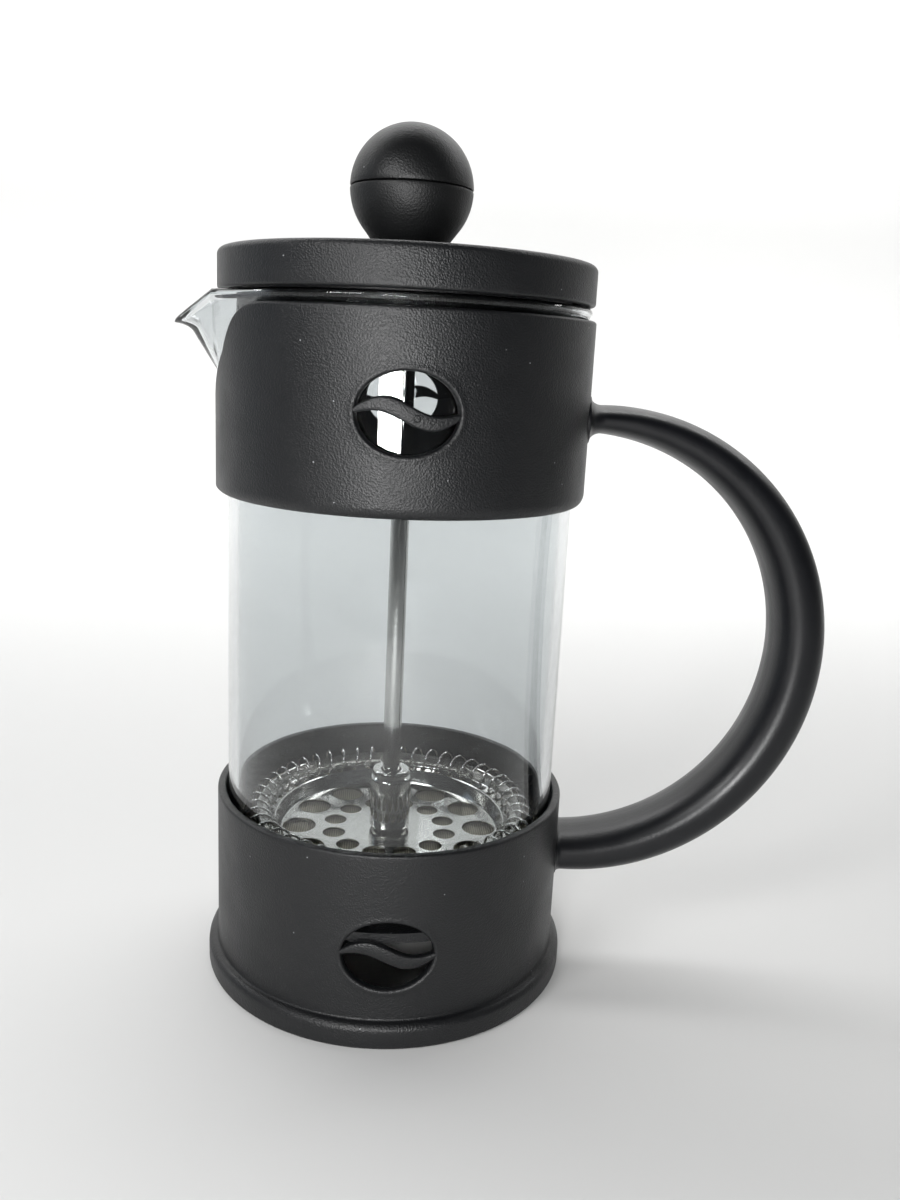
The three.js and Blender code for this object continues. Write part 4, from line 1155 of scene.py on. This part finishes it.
class PRESS_OT_mesh(bpy.types.Operator):
    """Make the woven mesh, the cross plate under it and the stud that holds the pack together"""

    bl_idname = "press.mesh"
    bl_label = "Mesh and Cross Plate"

    def execute(self, context):
        sizes = context.scene.press_filter
        sheet, corner = sizes.mesh_sheet, 1.3 * MM
        mesh = turned("mesh_screen_woven", [
            (ROD_BORE, MESH_BOTTOM), (MESH_RADIUS * 0.6, MESH_BOTTOM), (MESH_RADIUS - 1.6 * MM, MESH_BOTTOM),
            *arc(MESH_RADIUS - corner, MESH_BOTTOM + corner, corner, -80, 0, 6),
            (MESH_RADIUS, MESH_TOP), (MESH_RADIUS - sheet, MESH_TOP),
            *arc(MESH_RADIUS - corner, MESH_BOTTOM + corner, corner - sheet, 0, -80, 6),
            (MESH_RADIUS - 1.6 * MM, MESH_BOTTOM + sheet), (MESH_RADIUS * 0.6, MESH_BOTTOM + sheet),
            (ROD_BORE, MESH_BOTTOM + sheet)])
        finish_piece(mesh, "filter", woven_mesh(), "mesh_screen")
        cross = turned("cross_plate_steel", [
            (ROD_BORE, CROSS_BOTTOM), (CROSS_RADIUS - 0.3 * MM, CROSS_BOTTOM),
            (CROSS_RADIUS, CROSS_BOTTOM + 0.3 * MM), (CROSS_RADIUS, CROSS_TOP - 0.2 * MM),
            (CROSS_RADIUS - 0.2 * MM, CROSS_TOP), (ROD_BORE, CROSS_TOP)], 192)
        run_nodes(cross, openings_tree("round"), Ring_Radius=0.61 * CROSS_RADIUS, Count=sizes.openings,
                  Height=CROSS_BOTTOM, Step=2 * math.pi / sizes.openings, Start=0.0,
                  Cutter_Size=(0.26 * CROSS_RADIUS, 1.0, 4 * MM), Material=shared("bright_sheet_steel"))
        smooth(cross.data)
        finish_piece(cross, "filter", shared("bright_sheet_steel"), "cross_plate")
        shoulder = STUD_BOTTOM + 0.25 * MM
        stud = turned("cross_plate_stud_steel", [
            (0, STUD_BOTTOM), (STUD_HEAD - 0.1 * MM, STUD_BOTTOM), (STUD_HEAD, STUD_BOTTOM + 0.1 * MM),
            (STUD_HEAD, shoulder), (ROD_RADIUS, shoulder), (ROD_RADIUS, STUD_TOP - 0.3 * MM),
            (ROD_RADIUS - 0.3 * MM, STUD_TOP), (0, STUD_TOP)], 64)
        finish_piece(stud, "filter", shared("polished_rod_steel"), "cross_plate_stud")
        return {"FINISHED"}


# ---- Stage


def soft_box(name, target, azimuth, elevation, distance, size, energy, tint=(1.0, 1.0, 1.0)):
    """A large soft light. Azimuth 0 is in front of the press, on -Y, and grows towards +X."""
    light = bpy.data.lights.new(name, "AREA")
    light.shape = "RECTANGLE"
    light.size, light.size_y = size
    light.energy = energy
    light.color = tint
    lamp = placed(name, light)
    a, e = math.radians(azimuth), math.radians(elevation)
    away = Vector((math.sin(a) * math.cos(e), -math.cos(a) * math.cos(e), math.sin(e)))
    lamp.location = target + distance * away
    lamp.rotation_mode = "QUATERNION"
    lamp.rotation_quaternion = away.to_track_quat("Z", "Y")


class PRESS_OT_stage(bpy.types.Operator):
    """Make the pale floor and backdrop, the soft lights and the camera"""

    bl_idname = "press.stage"
    bl_label = "Stage"

    def execute(self, context):
        width, front, back, bend, height = 3.0, -3.0, 0.75, 0.25, 1.6
        profile = [(front, 0.0), (back - bend, 0.0)]
        profile += [(back - bend + bend * math.sin(a), bend * (1 - math.cos(a)))
                    for a in [math.radians(90 * i / 16) for i in range(1, 17)]]
        profile += [(back, height)]
        vertices = [(side * width, y, z - 0.02 * MM) for y, z in profile for side in (-1, 1)]
        faces = [(2 * i, 2 * i + 1, 2 * i + 3, 2 * i + 2) for i in range(len(profile) - 1)]
        mesh = bpy.data.meshes.new("paper_sweep")
        mesh.from_pydata(vertices, [], faces)
        mesh.shade_smooth()
        floor = placed("paper_sweep", mesh)
        mesh.materials.append(matt_floor())

        target = Vector((AXIS_X, 0, 0.09))
        collar_middle = Vector((AXIS_X, 0, 0.125))
        backdrop_foot = Vector((AXIS_X, 0.7, 0.25))
        soft_box("key_softbox", collar_middle, azimuth=-9, elevation=-3, distance=0.34, size=(0.08, 0.05),
                 energy=0.9)
        soft_box("upper_softbox", collar_middle, azimuth=-38, elevation=24, distance=0.34, size=(0.12, 0.1),
                 energy=0.5)
        soft_box("left_window", target, azimuth=-100, elevation=12, distance=0.7, size=(0.2, 0.6),
                 energy=0.2, tint=(0.72, 0.84, 1.0))
        soft_box("right_strip", target, azimuth=95, elevation=14, distance=0.8, size=(0.12, 0.6),
                 energy=0.08)
        soft_box("wall_wash", backdrop_foot, azimuth=0, elevation=62, distance=0.55, size=(2.4, 0.3),
                 energy=15.0)
        world = bpy.data.worlds.new("studio_air")
        world.use_nodes = True
        sky = world.node_tree.nodes["Background"]
        sky.inputs["Color"].default_value = (0.93, 0.96, 1.0, 1.0)
        sky.inputs["Strength"].default_value = 0.06
        context.scene.world = world

        yaw, pitch, roll = [math.radians(degrees) for degrees in (3.904, 13.152, 2.746)]
        place = Vector((AXIS_X - 3.45 * MM, -214.42 * MM, 130.67 * MM))
        forward = Vector((math.sin(yaw) * math.cos(pitch), math.cos(yaw) * math.cos(pitch), -math.sin(pitch)))
        level = Vector((math.cos(yaw), -math.sin(yaw), 0))
        upright = level.cross(forward)
        right = math.cos(roll) * level + math.sin(roll) * upright
        up = -math.sin(roll) * level + math.cos(roll) * upright
        camera = placed("camera", bpy.data.cameras.new("camera"))
        camera.data.lens = 31.17
        camera.data.sensor_width = 36.0
        camera.data.clip_start = 0.01
        camera.matrix_world = Matrix([(right[i], up[i], -forward[i], place[i]) for i in range(3)]
                                     + [(0, 0, 0, 1)])
        context.scene.camera = camera
        context.scene.view_settings.view_transform = "Standard"
        return {"FINISHED"}


OPERATORS = (PRESS_OT_stage, PRESS_OT_base, PRESS_OT_collar, PRESS_OT_handle, PRESS_OT_beaker, PRESS_OT_lid,
             PRESS_OT_knob, PRESS_OT_rod, PRESS_OT_filter_plate, PRESS_OT_coil, PRESS_OT_mesh)


class PRESS_PT_panel(bpy.types.Panel):
    """The press's pieces, in the order in which they are made"""

    bl_idname = "PRESS_PT_panel"
    bl_label = "French Press"
    bl_space_type = "VIEW_3D"
    bl_region_type = "UI"
    bl_category = "French Press"

    def draw(self, context):
        for group in SETTINGS:
            box = self.layout.box()
            settings = getattr(context.scene, group)
            for name in SETTINGS[group].__annotations__:
                box.prop(settings, name)
        for operator in OPERATORS:
            self.layout.operator(operator.bl_idname)


CLASSES = (*SETTINGS.values(), *OPERATORS, PRESS_PT_panel)


def register():
    for cls in CLASSES:
        bpy.utils.register_class(cls)
    for name, group in SETTINGS.items():
        setattr(bpy.types.Scene, name, PointerProperty(type=group))


def unregister():
    for name in SETTINGS:
        delattr(bpy.types.Scene, name)
    for cls in reversed(CLASSES):
        bpy.utils.unregister_class(cls)


def main():
    """Makes the stage and every piece."""
    register()
    for operator in OPERATORS:
        group, name = operator.bl_idname.split(".")
        getattr(getattr(bpy.ops, group), name)()


if __name__ == "__main__":
    main()
